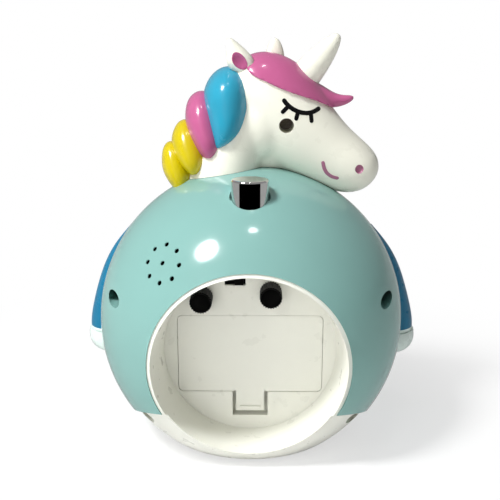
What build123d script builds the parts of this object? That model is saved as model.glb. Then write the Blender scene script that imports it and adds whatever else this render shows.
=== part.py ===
from build123d import *
import os
from math import acos, atan2, cos, degrees, hypot, pi, radians, sin, sqrt, tan

os.makedirs("parts", exist_ok=True)

# The frame: +Z up, the dial looks along -Y, the origin is under the middle of the ball.
# "Ahead" is a distance along -Y from the ball's centre, so what lies behind it is negative.
# "Above" is a height over the ball's centre, and "across" runs along +X.

# Ball-shaped body
ball_radius = 65
centre_height = 50  # of the ball's centre above the table
pad_radius = 34
pad_thickness = 1
shell_wall = 2.2
floor_wall = 2.2
front_radius = 48.2  # of the ball's flat front
fit_gap = 0.1  # between pieces that are fixed to each other
thread_gap = 0.02
overrun = 1  # by which a cut passes the face it starts from

# Bezel, lens, light ring, dial and the chassis that carries them
bezel_wide = 0.1  # of the bezel beyond the edge of the flat front
bezel_ring = 8.9  # across the bezel's face
bezel_height = 4.5
bezel_round = 2
bezel_lip = 2
skirt_wall = 1.8
skirt_depth = 3.2
flange_ledge = 4.3  # of the shell behind the bezel
lens_edge = 2.5  # of the lens behind the bezel's lip
lens_thickness = 1.6
chassis_gap = 5  # between the chassis and the shell
chassis_thickness = 2
chassis_depth = 13.2  # of its face below the flat front
dial_edge = 0.4  # between the dial and the bezel's bore
dial_thickness = 0.6
dial_hole = 4.3
ring_gap = 1.1  # between the light ring and the flange's bore
ring_height = 4
led_radius = 1.2
led_height = 3
led_count = 6

# Rear housing: a cup sunk into the back of the ball, with the battery bay behind its panel
panel_behind = 27  # outer face of the panel
panel_wall = 2
panel_radius = 35.2
panel_drop = 6.6
rim_behind = 52
rim_radius = 37.6
rim_drop = 5.6
cup_wall = 1.6
cup_reach = 70
rim_sink = 0.5
skin_inset = 1.8  # of the white underside below the aqua shell
skin_wall = 2
seam_place = (26, -34)  # a point of the seam, behind and above
seam_slope = 21.6
seam_lip = 3

# Battery door, bay and cells
door_width = 59
door_top = 8
door_height = 33
door_wall = 1.6
door_gap = 0.2
door_corner = 2
tongue_width = 7
tongue_spacing = 36
tongue_reach = 1.8
tongue_root = 2.5
tongue_wall = 1.2
tongue_gap = 0.1  # behind the panel
tongue_side_gap = 0.3
latch_width = 11.6
latch_height = 8.8
ridge_size = (8.6, 1.2, 0.9)  # across, up and proud of the latch
ridge_above = 1.6  # over the latch's lower end
scoop_width = 14.6
scoop_height = 10.8
scoop_depth = 4.4
scoop_wall = 1.4
ledge_border = 3
ledge_wall = 1.4
bay_wall = 1.4
bay_length = 56
bay_height = 30
bay_depth = 15
cell_radius = 7.1
cell_length = 49
nub_radius = 2.7
nub_length = 1.2
cell_gap = 0.6
plate_thickness = 0.4
plate_size = 11
bay_spring_radius = 3.6
bay_spring_turns = 3
wire_radius = 0.4

# Screws
case_screw_high = (54, 16.7)  # across and above, one on each side
case_screw_low = (42, -34.2)
well_radius = 3
well_wall = 1.7
well_seat = 10  # behind the ball's centre
well_floor = 2
post_radius = 4
screw_radius = 1.5
screw_hole = 1.7
screw_head_radius = 2.7
screw_head_height = 1.8
screw_length = 14
inner_screw_length = 9
pilot_spare = 1  # of a pilot hole beyond its screw
small_screw_radius = 1
small_head_radius = 1.9
small_head_height = 1.2
small_screw_length = 5
chassis_post_inset = 2.8  # from the chassis's edge
chassis_post_angles = (60, 120, 240, 300)
small_post_radius = 2.6
cross_slot = (0.7, 0.8)  # width and depth

# Snooze and light button
button_behind = 29.4
button_radius = 7.25
button_proud = 6.33  # of the shell round it
button_length = 17
button_round = 0.8
button_gap = 0.09  # round the button in its guide
button_rim_gap = 0.75  # round the button in the shell's skin
button_relief = 8  # from the button's top down to where the guide fits it
guide_wall = 1.6
button_flange_radius = 8.9
button_flange = 1.5
flange_lift = 0.5  # over the button's lower end
button_travel = 2
button_post_radius = 2
stand_radius = 2
stand_spacing = 24
snooze_board_drop = 26.7  # of the board's top below the button's
snooze_board_length = 29
snooze_board_width = 15
board_thickness = 1.6
switch_side = 6
switch_height = 3.5
plunger_radius = 1.7
plunger_height = 1.5
press_gap = 0.2
spring_radius = 5.6
spring_turns = 5

# Sounder behind the ring of holes
sound_direction = (0.505, 0.683, 0.54)
sound_oval = (8.2, 7.2)  # half length towards the rear, half width across
sound_holes = 8
sound_hole_radius = 0.95
sounder_radius = 9
sounder_thickness = 3
sounder_depth = 4  # of its face below the ball's surface
collar_wall = 1.2
collar_length = 5.8

# Alarm slide switch
slide_place = (6, 23)
slide_body = (12, 6, 5)
slide_window = (8.4, 4.2)
slide_base = (4.6, 4.4, 1.8)
slide_tab = (3.6, 3.4)
slide_proud = 1.2
slide_travel = 3.2
slide_gap = 0.1
slide_end_gap = 0.2

# Setting knobs and their arbors
time_axis = (-8.3, 18.7)
alarm_axis = (19.2, 16.6)
knob_radius = 4.4
knob_length = 8.5
knob_clear = 1.2
knob_ribs = 26
knob_rib_depth = 0.35
knob_cap = 0.6
knob_end_wall = 1.5
arbor_radius = 1.5
shaft_gap = 0.08

# Movement
case_wall = 1.5
case_corner = 3
plate_wall = 1.5
tray_depth = 13
bearing_depth = 0.9
pivot_radius = 0.5
pivot_gap = 0.05
bush_radius = 4
bush_length = 3.2
pressure_angle = 20
addendum = 0.65  # tooth heights and backlash are shares of the module
dedendum = 0.95
backlash = 0.3
wheel_thickness = 0.8
second_teeth, rotor_module = 60, 0.3
second_pinion, third_teeth, third_module = 8, 60, 0.36
third_pinion, centre_teeth, centre_module = 8, 64, 0.34
cannon_teeth, minute_teeth, minute_module = 12, 36, 0.5
minute_pinion, hour_teeth, hour_module = 10, 40, 0.48
alarm_teeth, idler_teeth, alarm_pinion, alarm_module = 40, 30, 12, 0.5
time_pinion = 10
middle_teeth, middle_pinion, rotor_pinion = 48, 8, 12
third_angle = -20
middle_angle = 215
rotor_angle = 270
tube_wall = 0.47
tube_gap = 0.08
magnet_radius = 2.4
magnet_height = 2.6
stator_hole = 2.9
stator_left = -18.4
stator_right = 13
stator_top = -10.8
stator_bottom = -23.8
stator_leg = 4.4
stator_post_radius = 1.4
idler_stud_radius = 0.8
coil_radius = 2.7
coil_gap = 0.3
core_width = 2
corner_post = 2.2
corner_inset = 3
post_gap = 0.4  # between a corner post and the stator
stator_room = 0.7  # between the stator and the case's wall
arbor_room = (2, 1)  # between the setting pinions and the case's walls

# Layers of the train, ahead of the tray's floor
second_layer = 1
third_layer = 2.6
centre_layer = 4.4
magnet_layer = 5
stator_layer = 5.9
minute_layer = 6.1
hour_layer = 7.7
alarm_layer = 9.3
pinion_spare = 0.2  # a pinion is longer than its wheel is thick by this at each end

# Hands
hand_lift = 1.8  # of the alarm hand over the dial's base
hand_pitch = 1.25
hand_thickness = 0.45
hand_hub = 3
alarm_hand_shape = (16, 1.5, 0)  # length, half width and clock angle
hour_hand_shape = (22, 2.2, 305)
minute_hand_shape = (32, 1.8, 60)
second_hand_shape = (34, 0.6, 150)
hand_tail = 9
hand_taper = 0.6

# Main board
board_width = 46
board_height = 26
board_drop = 8.5
board_standoff = 2
chip_size = (9, 7, 1.6)
board_hole = (20, 10)  # of each board screw from the board's middle

# Unicorn head, drawn "towards" its nose and above the ball's top
head_ahead = 6  # of the plane between the two head halves
head_wall = 2.4
least_section = 0.5  # half size below which the hollow has no section
head_seat = 0.15
face_start = (5, 30)
face_slope = 37.5
# along the face: distance, lift, half height and half thickness
face_sections = (
    (-15.5, -2.5, 3, 3.5),
    (-13, -2, 9, 9),
    (-6, -1.5, 14, 13.5),
    (5, -2, 17.5, 15.5),
    (16, -3.5, 18, 15.5),
    (27, -4.5, 16, 14),
    (37, -4, 13.8, 12.8),
    (47, -3, 12.8, 12.5),
    (54, -1.5, 10.5, 10.8),
    (58, -0.5, 6, 6.5),
    (59.2, 0, 2, 2.4),
)
# up the neck: height, centre towards the nose, half length and half thickness
neck_sections = (
    (-21, -13, 17.5, 20),
    (-9, -10.5, 18.2, 19),
    (3, -7, 17.5, 17),
    (15, -4.5, 14.5, 15.5),
    (29, 1, 12, 14),
)
# locks of the mane: centre towards and above, half length, half width, half thickness, lean
blue_lock = ((-11.2, 24), 16.6, 8.8, 17.5, 9)
pink_lock = ((-18.6, 16), 13.8, 8.6, 16.5, -11)
upper_yellow_lock = ((-26.6, 7), 11.6, 7.2, 14.5, -11)
lower_yellow_lock = ((-32.2, -0.4), 10.6, 5.6, 11.5, -11)
lock_turns = (-84, -66, -42, -16, 16, 42, 66, 84)  # degrees along each lock to its sections
forelock_thickness = 1.7
forelock_outline = (
    (-1, 38.5),
    (6.4, 34.2),
    (12.4, 31.3),
    (27.4, 26.2),
    (33.8, 22.6),
    (46, 33),
    (20, 55),
    (-4, 55),
)
# the flick of the forelock: towards, above and radius
flick_width = 1.3  # of the flick for its height
flick_sections = ((27, 29.5, 4.6), (33.5, 27.2, 3.4), (38.5, 27.2, 2.2), (42.4, 28.2, 1))
# up the horn: towards, above and radius
horn_sections = ((21.6, 34.6, 6.2), (27, 41.6, 4.9), (32.2, 48.6, 3.2), (34.6, 51.8, 1.9))
horn_slope = 52
horn_tip_round = 1.1
ear_side = 9.5  # of each ear from the plane between the head halves
# up each ear: towards, above, half length and half thickness
rear_ear_sections = (
    (-2.6, 35.5, 4.9, 3.2),
    (-3.6, 40, 5.2, 3.5),
    (-5.6, 46, 4, 2.8),
    (-8, 50.4, 1.8, 1.3),
)
front_ear_sections = (
    (8.4, 34, 4.6, 4),
    (9.2, 42, 4, 3.4),
    (9.9, 48, 2.8, 2.3),
    (10.1, 51.4, 1.4, 1.1),
)
head_screw = (14.4, 17.6)
neck_screws = ((-18, 13), (-4.5, 13))  # towards the nose, and ahead of the ball's centre
neck_post_radius = 3.5
neck_post_length = 12
neck_web = 1.8  # wall that joins the neck posts to the neck
neck_web_height = 12

# Forelegs on the sides of the ball
leg_ahead = 11
leg_seat = 0.15
# above the ball's centre, proud of the ball, half thickness to the side, half width fore and aft
leg_sections = (
    (44, 0.36, 4, 3.5),
    (37, 0.16, 6, 6.5),
    (28, 2.24, 8, 8.2),
    (16, 4, 9, 9),
    (3, 6.07, 10, 9.4),
    (-10.4, 8.74, 10, 9.8),
)
hoof_sections = (
    (-10.4, 9.54, 10.8, 10.4),
    (-13.5, 10.42, 11.2, 10.8),
    (-17, 10.46, 10.5, 10),
    (-20, 8.55, 8, 7.4),
    (-21.2, 5.55, 5, 4.4),
)
leg_screw_height = -4


def ahead(distance, across=0, above=0):
    """A plane facing forwards, its y axis up, so far ahead of the ball's centre."""
    return Plane((across, -distance, centre_height + above), x_dir=(1, 0, 0), z_dir=(0, -1, 0))


def level(height):
    """A plane facing up at a height over the table."""
    return Plane.XY.offset(height)


def finish(piece, name):
    piece.part.label = name
    export_step(piece.part, f"parts/{name}.step")


def on_both_sides(place):
    return [(place[0], place[1]), (-place[0], place[1])]


def on_circle(radius, angles):
    return [(radius * cos(radians(a)), radius * sin(radians(a))) for a in angles]


def step_from(place, distance, angle):
    """The point at a distance and angle from a place."""
    return (
        place[0] + distance * cos(radians(angle)),
        place[1] + distance * sin(radians(angle)),
    )


def meeting_point(first, first_distance, second, second_distance, side):
    """The point at given distances from two others, on the side +1 or -1 of their line."""
    across, above = second[0] - first[0], second[1] - first[1]
    gap = hypot(across, above)
    along = (gap**2 + first_distance**2 - second_distance**2) / (2 * gap)
    off = side * sqrt(first_distance**2 - along**2)
    return (
        first[0] + (along * across - off * above) / gap,
        first[1] + (along * above + off * across) / gap,
    )


def heading(start, end):
    return degrees(atan2(end[1] - start[1], end[0] - start[0]))


def ball(radius):
    with BuildPart() as form:
        with Locations((0, 0, centre_height)):
            Sphere(radius)
    return form.part


def rod(plane, radius, length, places=((0, 0),), bore=0):
    """Round bars or tubes standing on a plane."""
    with BuildPart() as form:
        with BuildSketch(plane):
            with Locations(*places):
                Circle(radius)
                if bore:
                    Circle(bore, mode=Mode.SUBTRACT)
        extrude(amount=length)
    return form.part


def block(plane, size, length, places=((0, 0),), corner=0):
    """Square bars standing on a plane, with rounded edges if a corner radius is given."""
    with BuildPart() as form:
        with BuildSketch(plane):
            with Locations(*places):
                if corner:
                    RectangleRounded(size[0], size[1], corner)
                else:
                    Rectangle(size[0], size[1])
        extrude(amount=length)
    return form.part


def screws(plane, places, radius, length, head_radius, head_height):
    """Cross-head screws whose heads sit on the plane and whose shanks run along its normal."""
    with BuildPart() as form:
        add(rod(plane, radius, length, places))
        add(rod(plane, head_radius, -head_height, places))
        slot_plane = plane.offset(cross_slot[1] - head_height)
        for size in ((head_radius, cross_slot[0]), (cross_slot[0], head_radius)):
            add(block(slot_plane, size, -2 * cross_slot[1], places), mode=Mode.SUBTRACT)
    return form.part


def ellipse_loft(stations):
    """A smooth solid through ellipses, each given as plane, x radius and y radius."""
    with BuildPart() as form:
        for plane, x_radius, y_radius in stations:
            with BuildSketch(plane):
                Ellipse(x_radius, y_radius)
        loft()
    return form.part


def coil_spring(plane, radius, wire, height, turns):
    """A round wire spring standing on a plane, its ends just inside the height."""
    rise = height - 2 * wire
    with BuildPart() as form:
        with BuildLine():
            foot = plane.offset(wire).origin
            pitch = rise / turns
            path = Helix(pitch, rise, radius, center=foot, direction=plane.z_dir)
        with BuildSketch(Plane(path @ 0, z_dir=path % 0)):
            Circle(wire)
        sweep(path=path)
    return form.part


def cup(extra, behind_from, behind_to):
    """The cup's oblique cone, grown by extra, between two distances behind the centre."""
    with BuildPart() as form:
        for behind in (behind_from, behind_to):
            share = (behind - panel_behind) / (rim_behind - panel_behind)
            drop = panel_drop + share * (rim_drop - panel_drop)
            with BuildSketch(ahead(-behind, above=-drop)):
                Circle(panel_radius + share * (rim_radius - panel_radius) + extra)
        loft(ruled=True)
    return form.part


floor_plane = level(pad_thickness)
floor_top = level(pad_thickness + floor_wall)
inner_radius = ball_radius - shell_wall
skin_radius = ball_radius - skin_inset
outer_ball = ball(ball_radius)
seam_plane = Plane(
    (0, seam_place[0], centre_height + seam_place[1]),
    x_dir=(1, 0, 0),
    z_dir=(0, -sin(radians(seam_slope)), cos(radians(seam_slope))),
)
front_face = sqrt(ball_radius**2 - front_radius**2)  # ahead of the ball's centre
chassis_face = front_face - chassis_depth
bezel_outer = front_radius + bezel_wide
bezel_inner = bezel_outer - bezel_ring
flange_bore = bezel_outer - flange_ledge
lens_radius = bezel_inner + lens_edge
dial_radius = bezel_inner - dial_edge
ring_inner = dial_radius + fit_gap
ring_outer = flange_bore - ring_gap
led_circle = (ring_inner + ring_outer) / 2
flange_rear = front_face - shell_wall
chassis_radius = sqrt(inner_radius**2 - chassis_face**2) - chassis_gap
chassis_post_circle = chassis_radius - chassis_post_inset
chassis_rear = chassis_face - chassis_thickness
high_screws = on_both_sides(case_screw_high)
low_screws = on_both_sides(case_screw_low)
case_screw_places = high_screws + low_screws
chassis_screw_places = on_circle(chassis_post_circle, chassis_post_angles)
post_plane = ahead(well_floor - well_seat)
hole_start = ahead(-well_seat - overrun)
seat_cut = well_floor + 2 * overrun
screw_bore = screw_radius + thread_gap
small_bore = small_screw_radius + thread_gap
case_pilot = screw_length - well_floor + pilot_spare
board_pilot = small_screw_length - board_thickness + pilot_spare
inner_pilot = inner_screw_length - shell_wall + pilot_spare


def spoke_plane(direction, distance, x_dir):
    """A plane square to a ray from the ball's centre, that far along it."""
    ray = Vector(*direction).normalized()
    return Plane(Vector(0, 0, centre_height) + ray * distance, x_dir=x_dir, z_dir=ray)


def neck_screw_plane(place, distance):
    towards, forward = place
    up = sqrt(ball_radius**2 - towards**2 - forward**2)
    return spoke_plane((-towards, -forward, up), distance, (0, 1, 0))


def leg_screw_plane(side, distance):
    out = sqrt(ball_radius**2 - leg_ahead**2 - leg_screw_height**2)
    return spoke_plane((side * out, -leg_ahead, leg_screw_height), distance, (0, 0, 1))


def inner_screw_planes(distance):
    necks = [neck_screw_plane(place, distance) for place in neck_screws]
    legs = [leg_screw_plane(side, distance) for side in (1, -1)]
    return necks + legs


# --- Front shell: the front half of the ball ---------------------------------------------------
with BuildPart() as front_room:
    add(ball(inner_radius))
    split(bisect_by=ahead(flange_rear), keep=Keep.BOTTOM)
    split(bisect_by=floor_top, keep=Keep.TOP)

with BuildPart() as front_posts:
    post_reach = flange_rear + well_seat - well_floor
    add(rod(post_plane, post_radius, post_reach, case_screw_places))
    chassis_reach = flange_rear - chassis_face
    add(rod(ahead(chassis_face), small_post_radius, chassis_reach, chassis_screw_places))
    add(ball(ball_radius - shell_wall / 2), mode=Mode.INTERSECT)

with BuildPart() as front_shell:
    add(outer_ball)
    split(bisect_by=ahead(front_face), keep=Keep.BOTTOM)
    split(bisect_by=ahead(0), keep=Keep.TOP)
    split(bisect_by=floor_plane, keep=Keep.TOP)
    add(front_room.part, mode=Mode.SUBTRACT)
    add(front_posts.part)
    flange_cut = shell_wall + 2 * overrun
    add(rod(ahead(flange_rear - overrun), flange_bore, flange_cut), mode=Mode.SUBTRACT)
    add(rod(post_plane, screw_bore, case_pilot, case_screw_places), mode=Mode.SUBTRACT)
    chassis_pilot = small_screw_length - chassis_thickness + pilot_spare
    pilot_cut = rod(ahead(chassis_face), small_bore, chassis_pilot, chassis_screw_places)
    add(pilot_cut, mode=Mode.SUBTRACT)
    for screw_plane in inner_screw_planes(inner_radius - overrun):
        add(rod(screw_plane, screw_hole, shell_wall + 2 * overrun), mode=Mode.SUBTRACT)
finish(front_shell, "front_shell")

# --- Rear housing: cup, panel, battery bay and the white underside -----------------------------
panel_rear = panel_behind - panel_wall
door_middle = door_top - door_height / 2
door_bottom = door_top - door_height
bay_floor_behind = panel_rear - bay_depth
ledge_size = (door_width + 2 * ledge_border, door_height + 2 * ledge_border)
bay_size = (bay_length, bay_height)
bay_outer = (bay_length + 2 * bay_wall, bay_height + 2 * bay_wall)
board_rear = bay_floor_behind - bay_wall - board_standoff
board_middle = -board_drop
board_holes = [(a * board_hole[0], b * board_hole[1]) for a in (1, -1) for b in (1, -1)]
scoop_middle = door_bottom - scoop_height / 2
tongue_places = [(tongue_spacing / 2, 0), (-tongue_spacing / 2, 0)]

with BuildPart() as white_room:
    add(ball(skin_radius - skin_wall))
    split(bisect_by=floor_top, keep=Keep.TOP)

with BuildPart() as white_skin:
    add(ball(skin_radius))
    split(bisect_by=seam_plane, keep=Keep.BOTTOM)
    split(bisect_by=floor_plane, keep=Keep.TOP)
    add(white_room.part, mode=Mode.SUBTRACT)

with BuildPart() as white_lip:
    add(ball(inner_radius - fit_gap))
    add(ball(skin_radius - skin_wall), mode=Mode.SUBTRACT)
    split(bisect_by=seam_plane.offset(seam_lip), keep=Keep.BOTTOM)
    split(bisect_by=seam_plane, keep=Keep.TOP)
    split(bisect_by=level(pad_thickness + floor_wall + fit_gap), keep=Keep.TOP)

with BuildPart() as proud_band:
    add(outer_ball)
    add(ball(skin_radius), mode=Mode.SUBTRACT)
    split(bisect_by=seam_plane, keep=Keep.BOTTOM)

with BuildPart() as white_cup:
    add(cup(cup_wall, panel_rear, cup_reach))
    add(ball(ball_radius - rim_sink), mode=Mode.INTERSECT)
    add(proud_band.part, mode=Mode.SUBTRACT)

with BuildPart() as white_wells:
    add(rod(post_plane, well_radius + well_wall, -ball_radius, low_screws))
    add(ball(skin_radius), mode=Mode.INTERSECT)

with BuildPart() as rear_housing:
    add(white_skin.part)
    add(white_lip.part)
    split(bisect_by=ahead(0), keep=Keep.BOTTOM)
    add(white_wells.part)
    add(white_cup.part)
    add(cup(0, panel_behind, cup_reach), mode=Mode.SUBTRACT)
    add(block(ahead(-panel_rear, above=door_middle), ledge_size, ledge_wall))
    add(block(ahead(-panel_rear, above=door_middle), bay_outer, bay_depth + bay_wall))
    scoop_outer = (scoop_width + 2 * scoop_wall, scoop_height + 2 * scoop_wall)
    scoop_plane = ahead(-panel_behind, above=scoop_middle)
    add(block(scoop_plane, scoop_outer, scoop_depth + scoop_wall))
    board_plane = ahead(-board_rear, above=board_middle)
    add(rod(board_plane, small_post_radius, -board_standoff, board_holes))
    # openings
    panel_cut = panel_wall + 2 * overrun
    door_hole = (door_width + 2 * door_gap, door_height + 2 * door_gap)
    door_plane = ahead(-panel_behind - overrun, above=door_middle)
    door_hole_corner = door_corner + door_gap
    door_cut = block(door_plane, door_hole, panel_wall + overrun, corner=door_hole_corner)
    add(door_cut, mode=Mode.SUBTRACT)
    add(block(door_plane, bay_size, panel_wall + overrun + bay_depth), mode=Mode.SUBTRACT)
    add(block(scoop_plane, (scoop_width, scoop_height), scoop_depth), mode=Mode.SUBTRACT)
    notch_size = (tongue_width + 2 * tongue_side_gap, 2 * (tongue_root + tongue_reach))
    notch_plane = ahead(-panel_rear, above=door_top)
    add(block(notch_plane, notch_size, 2 * ledge_wall, tongue_places), mode=Mode.SUBTRACT)
    for knob_place in (time_axis, alarm_axis):
        hole_plane = ahead(-panel_behind - overrun, *knob_place)
        add(rod(hole_plane, arbor_radius + shaft_gap, panel_cut), mode=Mode.SUBTRACT)
    window_plane = ahead(-panel_behind - overrun, *slide_place)
    add(block(window_plane, slide_window, panel_cut), mode=Mode.SUBTRACT)
    add(rod(ahead(-well_seat), well_radius, -ball_radius, low_screws), mode=Mode.SUBTRACT)
    add(rod(hole_start, screw_hole, seat_cut, low_screws), mode=Mode.SUBTRACT)
    add(rod(board_plane, small_bore, -board_pilot, board_holes), mode=Mode.SUBTRACT)
finish(rear_housing, "rear_housing")

# --- Rear shell: the aqua rear half of the ball ------------------------------------------------
button_middle = Plane((0, button_behind, 0))
button_top = centre_height + sqrt(ball_radius**2 - button_behind**2) + button_proud
snooze_board_height = button_top - snooze_board_drop
guide_bore = button_radius + button_gap
guide_outer = guide_bore + guide_wall
guide_bottom = button_top - button_length + flange_lift + button_flange
stand_places = [(stand_spacing / 2, 0), (-stand_spacing / 2, 0)]


sounder_face = ball_radius - sounder_depth
collar_start = ball_radius - collar_length


def sound_plane(distance):
    out, back, up = sound_direction
    return spoke_plane(sound_direction, distance, (-out * back, out**2 + up**2, -up * back))


with BuildPart() as rear_posts:
    guide_plane = button_middle.offset(guide_bottom)
    add(rod(guide_plane, guide_outer, ball_radius))
    stand_plane = button_middle.offset(snooze_board_height)
    add(rod(stand_plane, stand_radius, ball_radius, stand_places))
    collar_bore = sounder_radius + fit_gap
    add(rod(sound_plane(collar_start), collar_bore + collar_wall, collar_length))
    add(rod(post_plane, well_radius + well_wall, -ball_radius, high_screws))
    add(ball(ball_radius - shell_wall / 2), mode=Mode.INTERSECT)

with BuildPart() as rear_room:
    add(ball(inner_radius))
    split(bisect_by=floor_top, keep=Keep.TOP)

with BuildPart() as rear_shell:
    add(outer_ball)
    split(bisect_by=ahead(0), keep=Keep.BOTTOM)
    split(bisect_by=floor_plane, keep=Keep.TOP)
    add(rear_room.part, mode=Mode.SUBTRACT)
    split(bisect_by=seam_plane, keep=Keep.TOP)
    add(rear_posts.part)
    add(cup(cup_wall, panel_rear - 2 * overrun, cup_reach), mode=Mode.SUBTRACT)
    add(rear_housing.part, mode=Mode.SUBTRACT)
    add(rod(guide_plane.offset(-overrun), guide_bore, ball_radius), mode=Mode.SUBTRACT)
    rim_plane = button_middle.offset(button_top - button_relief)
    add(rod(rim_plane, button_radius + button_rim_gap, ball_radius), mode=Mode.SUBTRACT)
    add(rod(stand_plane, small_bore, board_pilot, stand_places), mode=Mode.SUBTRACT)
    collar_depth = sounder_face - collar_start + overrun
    collar_cut = rod(sound_plane(collar_start - overrun), collar_bore, collar_depth)
    add(collar_cut, mode=Mode.SUBTRACT)
    sound_turns = on_circle(1, range(0, 360, 360 // sound_holes))
    sound_places = [(0, 0)] + [(sound_oval[0] * x, sound_oval[1] * y) for x, y in sound_turns]
    sound_start = sound_plane(sounder_face - overrun)
    sound_cut = rod(sound_start, sound_hole_radius, 2 * sounder_depth, sound_places)
    add(sound_cut, mode=Mode.SUBTRACT)
    add(rod(ahead(-well_seat), well_radius, -ball_radius, high_screws), mode=Mode.SUBTRACT)
    add(rod(hole_start, screw_hole, seat_cut, high_screws), mode=Mode.SUBTRACT)
finish(rear_shell, "rear_shell")

# --- Pad under the ball ------------------------------------------------------------------------
with BuildPart() as base_pad:
    add(rod(level(0), pad_radius, pad_thickness))
finish(base_pad, "base_pad")

# --- Battery door ------------------------------------------------------------------------------
door_back = panel_rear + door_gap
with BuildPart() as battery_door:
    door_face = ahead(-door_back, above=door_middle)
    add(block(door_face, (door_width, door_height), -door_wall, corner=door_corner))
    latch_top = door_bottom + door_corner
    latch_place = ahead(-door_back, above=latch_top - (latch_height + door_corner) / 2)
    add(block(latch_place, (latch_width, latch_height + door_corner), -door_wall))
    ridge_plane = ahead(-door_back - door_wall, above=door_bottom - latch_height + ridge_above)
    add(block(ridge_plane, ridge_size[:2], -ridge_size[2]))
    root_plane = ahead(-door_back, above=door_top - tongue_root / 2 - door_gap)
    root_depth = tongue_wall + door_gap + tongue_gap
    add(block(root_plane, (tongue_width, tongue_root), root_depth, tongue_places))
    tongue_height = tongue_reach + tongue_root
    tongue_above = door_top + tongue_reach - tongue_height / 2
    tongue_plane = ahead(tongue_gap - panel_rear, above=tongue_above)
    add(block(tongue_plane, (tongue_width, tongue_height), tongue_wall, tongue_places))
finish(battery_door, "battery_door")

# --- Bezel, lens, dial, light ring and chassis -------------------------------------------------
with BuildPart() as bezel:
    add(rod(ahead(front_face), bezel_outer, bezel_height, bore=bezel_inner))
    front_edges = bezel.edges().filter_by(GeomType.CIRCLE).group_by(Axis.Y)[0]
    fillet(front_edges, bezel_round)
    lens_seat_depth = bezel_height - bezel_lip
    add(rod(ahead(front_face), lens_radius + fit_gap, lens_seat_depth), mode=Mode.SUBTRACT)
    skirt_outer = flange_bore - fit_gap
    add(rod(ahead(front_face), skirt_outer, -skirt_depth, bore=skirt_outer - skirt_wall))
finish(bezel, "bezel")

with BuildPart() as lens:
    add(rod(ahead(front_face + lens_seat_depth), lens_radius, -lens_thickness))
finish(lens, "lens")

with BuildPart() as dial:
    add(rod(ahead(chassis_face), dial_radius, dial_thickness, bore=dial_hole))
finish(dial, "dial")

led_places = on_circle(led_circle, range(0, 360, 360 // led_count))
with BuildPart() as light_ring:
    add(rod(ahead(chassis_face), ring_outer, ring_height, bore=ring_inner))
    pocket = rod(ahead(chassis_face), led_radius + fit_gap, led_height + fit_gap, led_places)
    add(pocket, mode=Mode.SUBTRACT)
finish(light_ring, "light_ring")

with BuildPart() as light_leds:
    add(rod(ahead(chassis_face), led_radius, led_height, led_places))
finish(light_leds, "light_leds")

with BuildPart() as chassis:
    add(rod(ahead(chassis_rear), chassis_radius, chassis_thickness))
    split(bisect_by=level(pad_thickness + floor_wall + fit_gap), keep=Keep.TOP)
    chassis_bore = small_bore + fit_gap
    screw_cut = rod(ahead(chassis_rear), chassis_bore, chassis_thickness, chassis_screw_places)
    add(screw_cut, mode=Mode.SUBTRACT)
    add(rod(ahead(chassis_rear), dial_hole, chassis_thickness), mode=Mode.SUBTRACT)
finish(chassis, "chassis")

# --- Movement: places of the axles -------------------------------------------------------------
dial_axis = (0, 0)
centre_distance = (second_pinion + third_teeth) * third_module / 2
third_axis = step_from(dial_axis, centre_distance, third_angle)
middle_axis = step_from(dial_axis, (second_teeth + middle_pinion) * rotor_module / 2, middle_angle)
rotor_axis = step_from(middle_axis, (middle_teeth + rotor_pinion) * rotor_module / 2, rotor_angle)
motion_distance = (cannon_teeth + minute_teeth) * minute_module / 2
setting_distance = (minute_teeth + time_pinion) * minute_module / 2
minute_axis = meeting_point(dial_axis, motion_distance, time_axis, setting_distance, 1)
alarm_distance = (alarm_teeth + idler_teeth) * alarm_module / 2
idler_distance = (idler_teeth + alarm_pinion) * alarm_module / 2
idler_axis = meeting_point(dial_axis, alarm_distance, alarm_axis, idler_distance, -1)

plate_rear = chassis_rear - plate_wall
tray_rear = plate_rear - tray_depth
tray_floor = tray_rear + case_wall
train_height = plate_rear - tray_floor
blind = bearing_depth + pivot_gap
alarm_tip = (alarm_pinion / 2 + addendum) * alarm_module
time_tip = (time_pinion / 2 + addendum) * minute_module
case_left = stator_left - post_gap - corner_post - corner_inset
case_right = alarm_axis[0] + alarm_tip + arbor_room[0] + case_wall
case_top = time_axis[1] + time_tip + arbor_room[1] + case_wall
case_bottom = stator_bottom - stator_room - case_wall
case_shift = ((case_left + case_right) / 2, (case_top + case_bottom) / 2)
case_size = (case_right - case_left, case_top - case_bottom)
case_inner = (case_size[0] - 2 * case_wall, case_size[1] - 2 * case_wall)
corner_reach = (case_size[0] / 2 - corner_inset, case_size[1] / 2 - corner_inset)
case_corners = [(a * corner_reach[0], b * corner_reach[1]) for a in (1, -1) for b in (1, -1)]


def layer(height, place=(0, 0)):
    """A plane facing forwards over the tray's floor."""
    return ahead(tray_floor + height, *place)


def involute(angle):
    return tan(angle) - angle


def tooth_outline(teeth, module, phase):
    """The corners of a gear's outline, with the middle of a tooth at the phase in degrees."""
    pitch = teeth * module / 2
    slope = radians(pressure_angle)
    base = pitch * cos(slope)
    root = pitch - dedendum * module
    tip = pitch + addendum * module
    half_tooth = (pi / 2 - backlash) / teeth + involute(slope)
    flank = []
    for radius in [root, tip] if root > base else [root, base, pitch, tip]:
        turned = involute(acos(base / radius)) if radius > base else 0
        flank.append((radius, half_tooth - turned))
    sides = [(radius, -half) for radius, half in flank] + flank[::-1]
    corners = []
    for tooth in range(teeth):
        middle = radians(phase) + 2 * pi * tooth / teeth
        for radius, offset in sides:
            corners.append((radius * cos(middle + offset), radius * sin(middle + offset)))
    return corners


def gear(plane, thickness, teeth, module, phase, bore=0):
    with BuildPart() as form:
        with BuildSketch(plane):
            Polygon(*tooth_outline(teeth, module, phase), align=None)
            if bore:
                Circle(bore, mode=Mode.SUBTRACT)
        extrude(amount=thickness)
    return form.part


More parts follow.
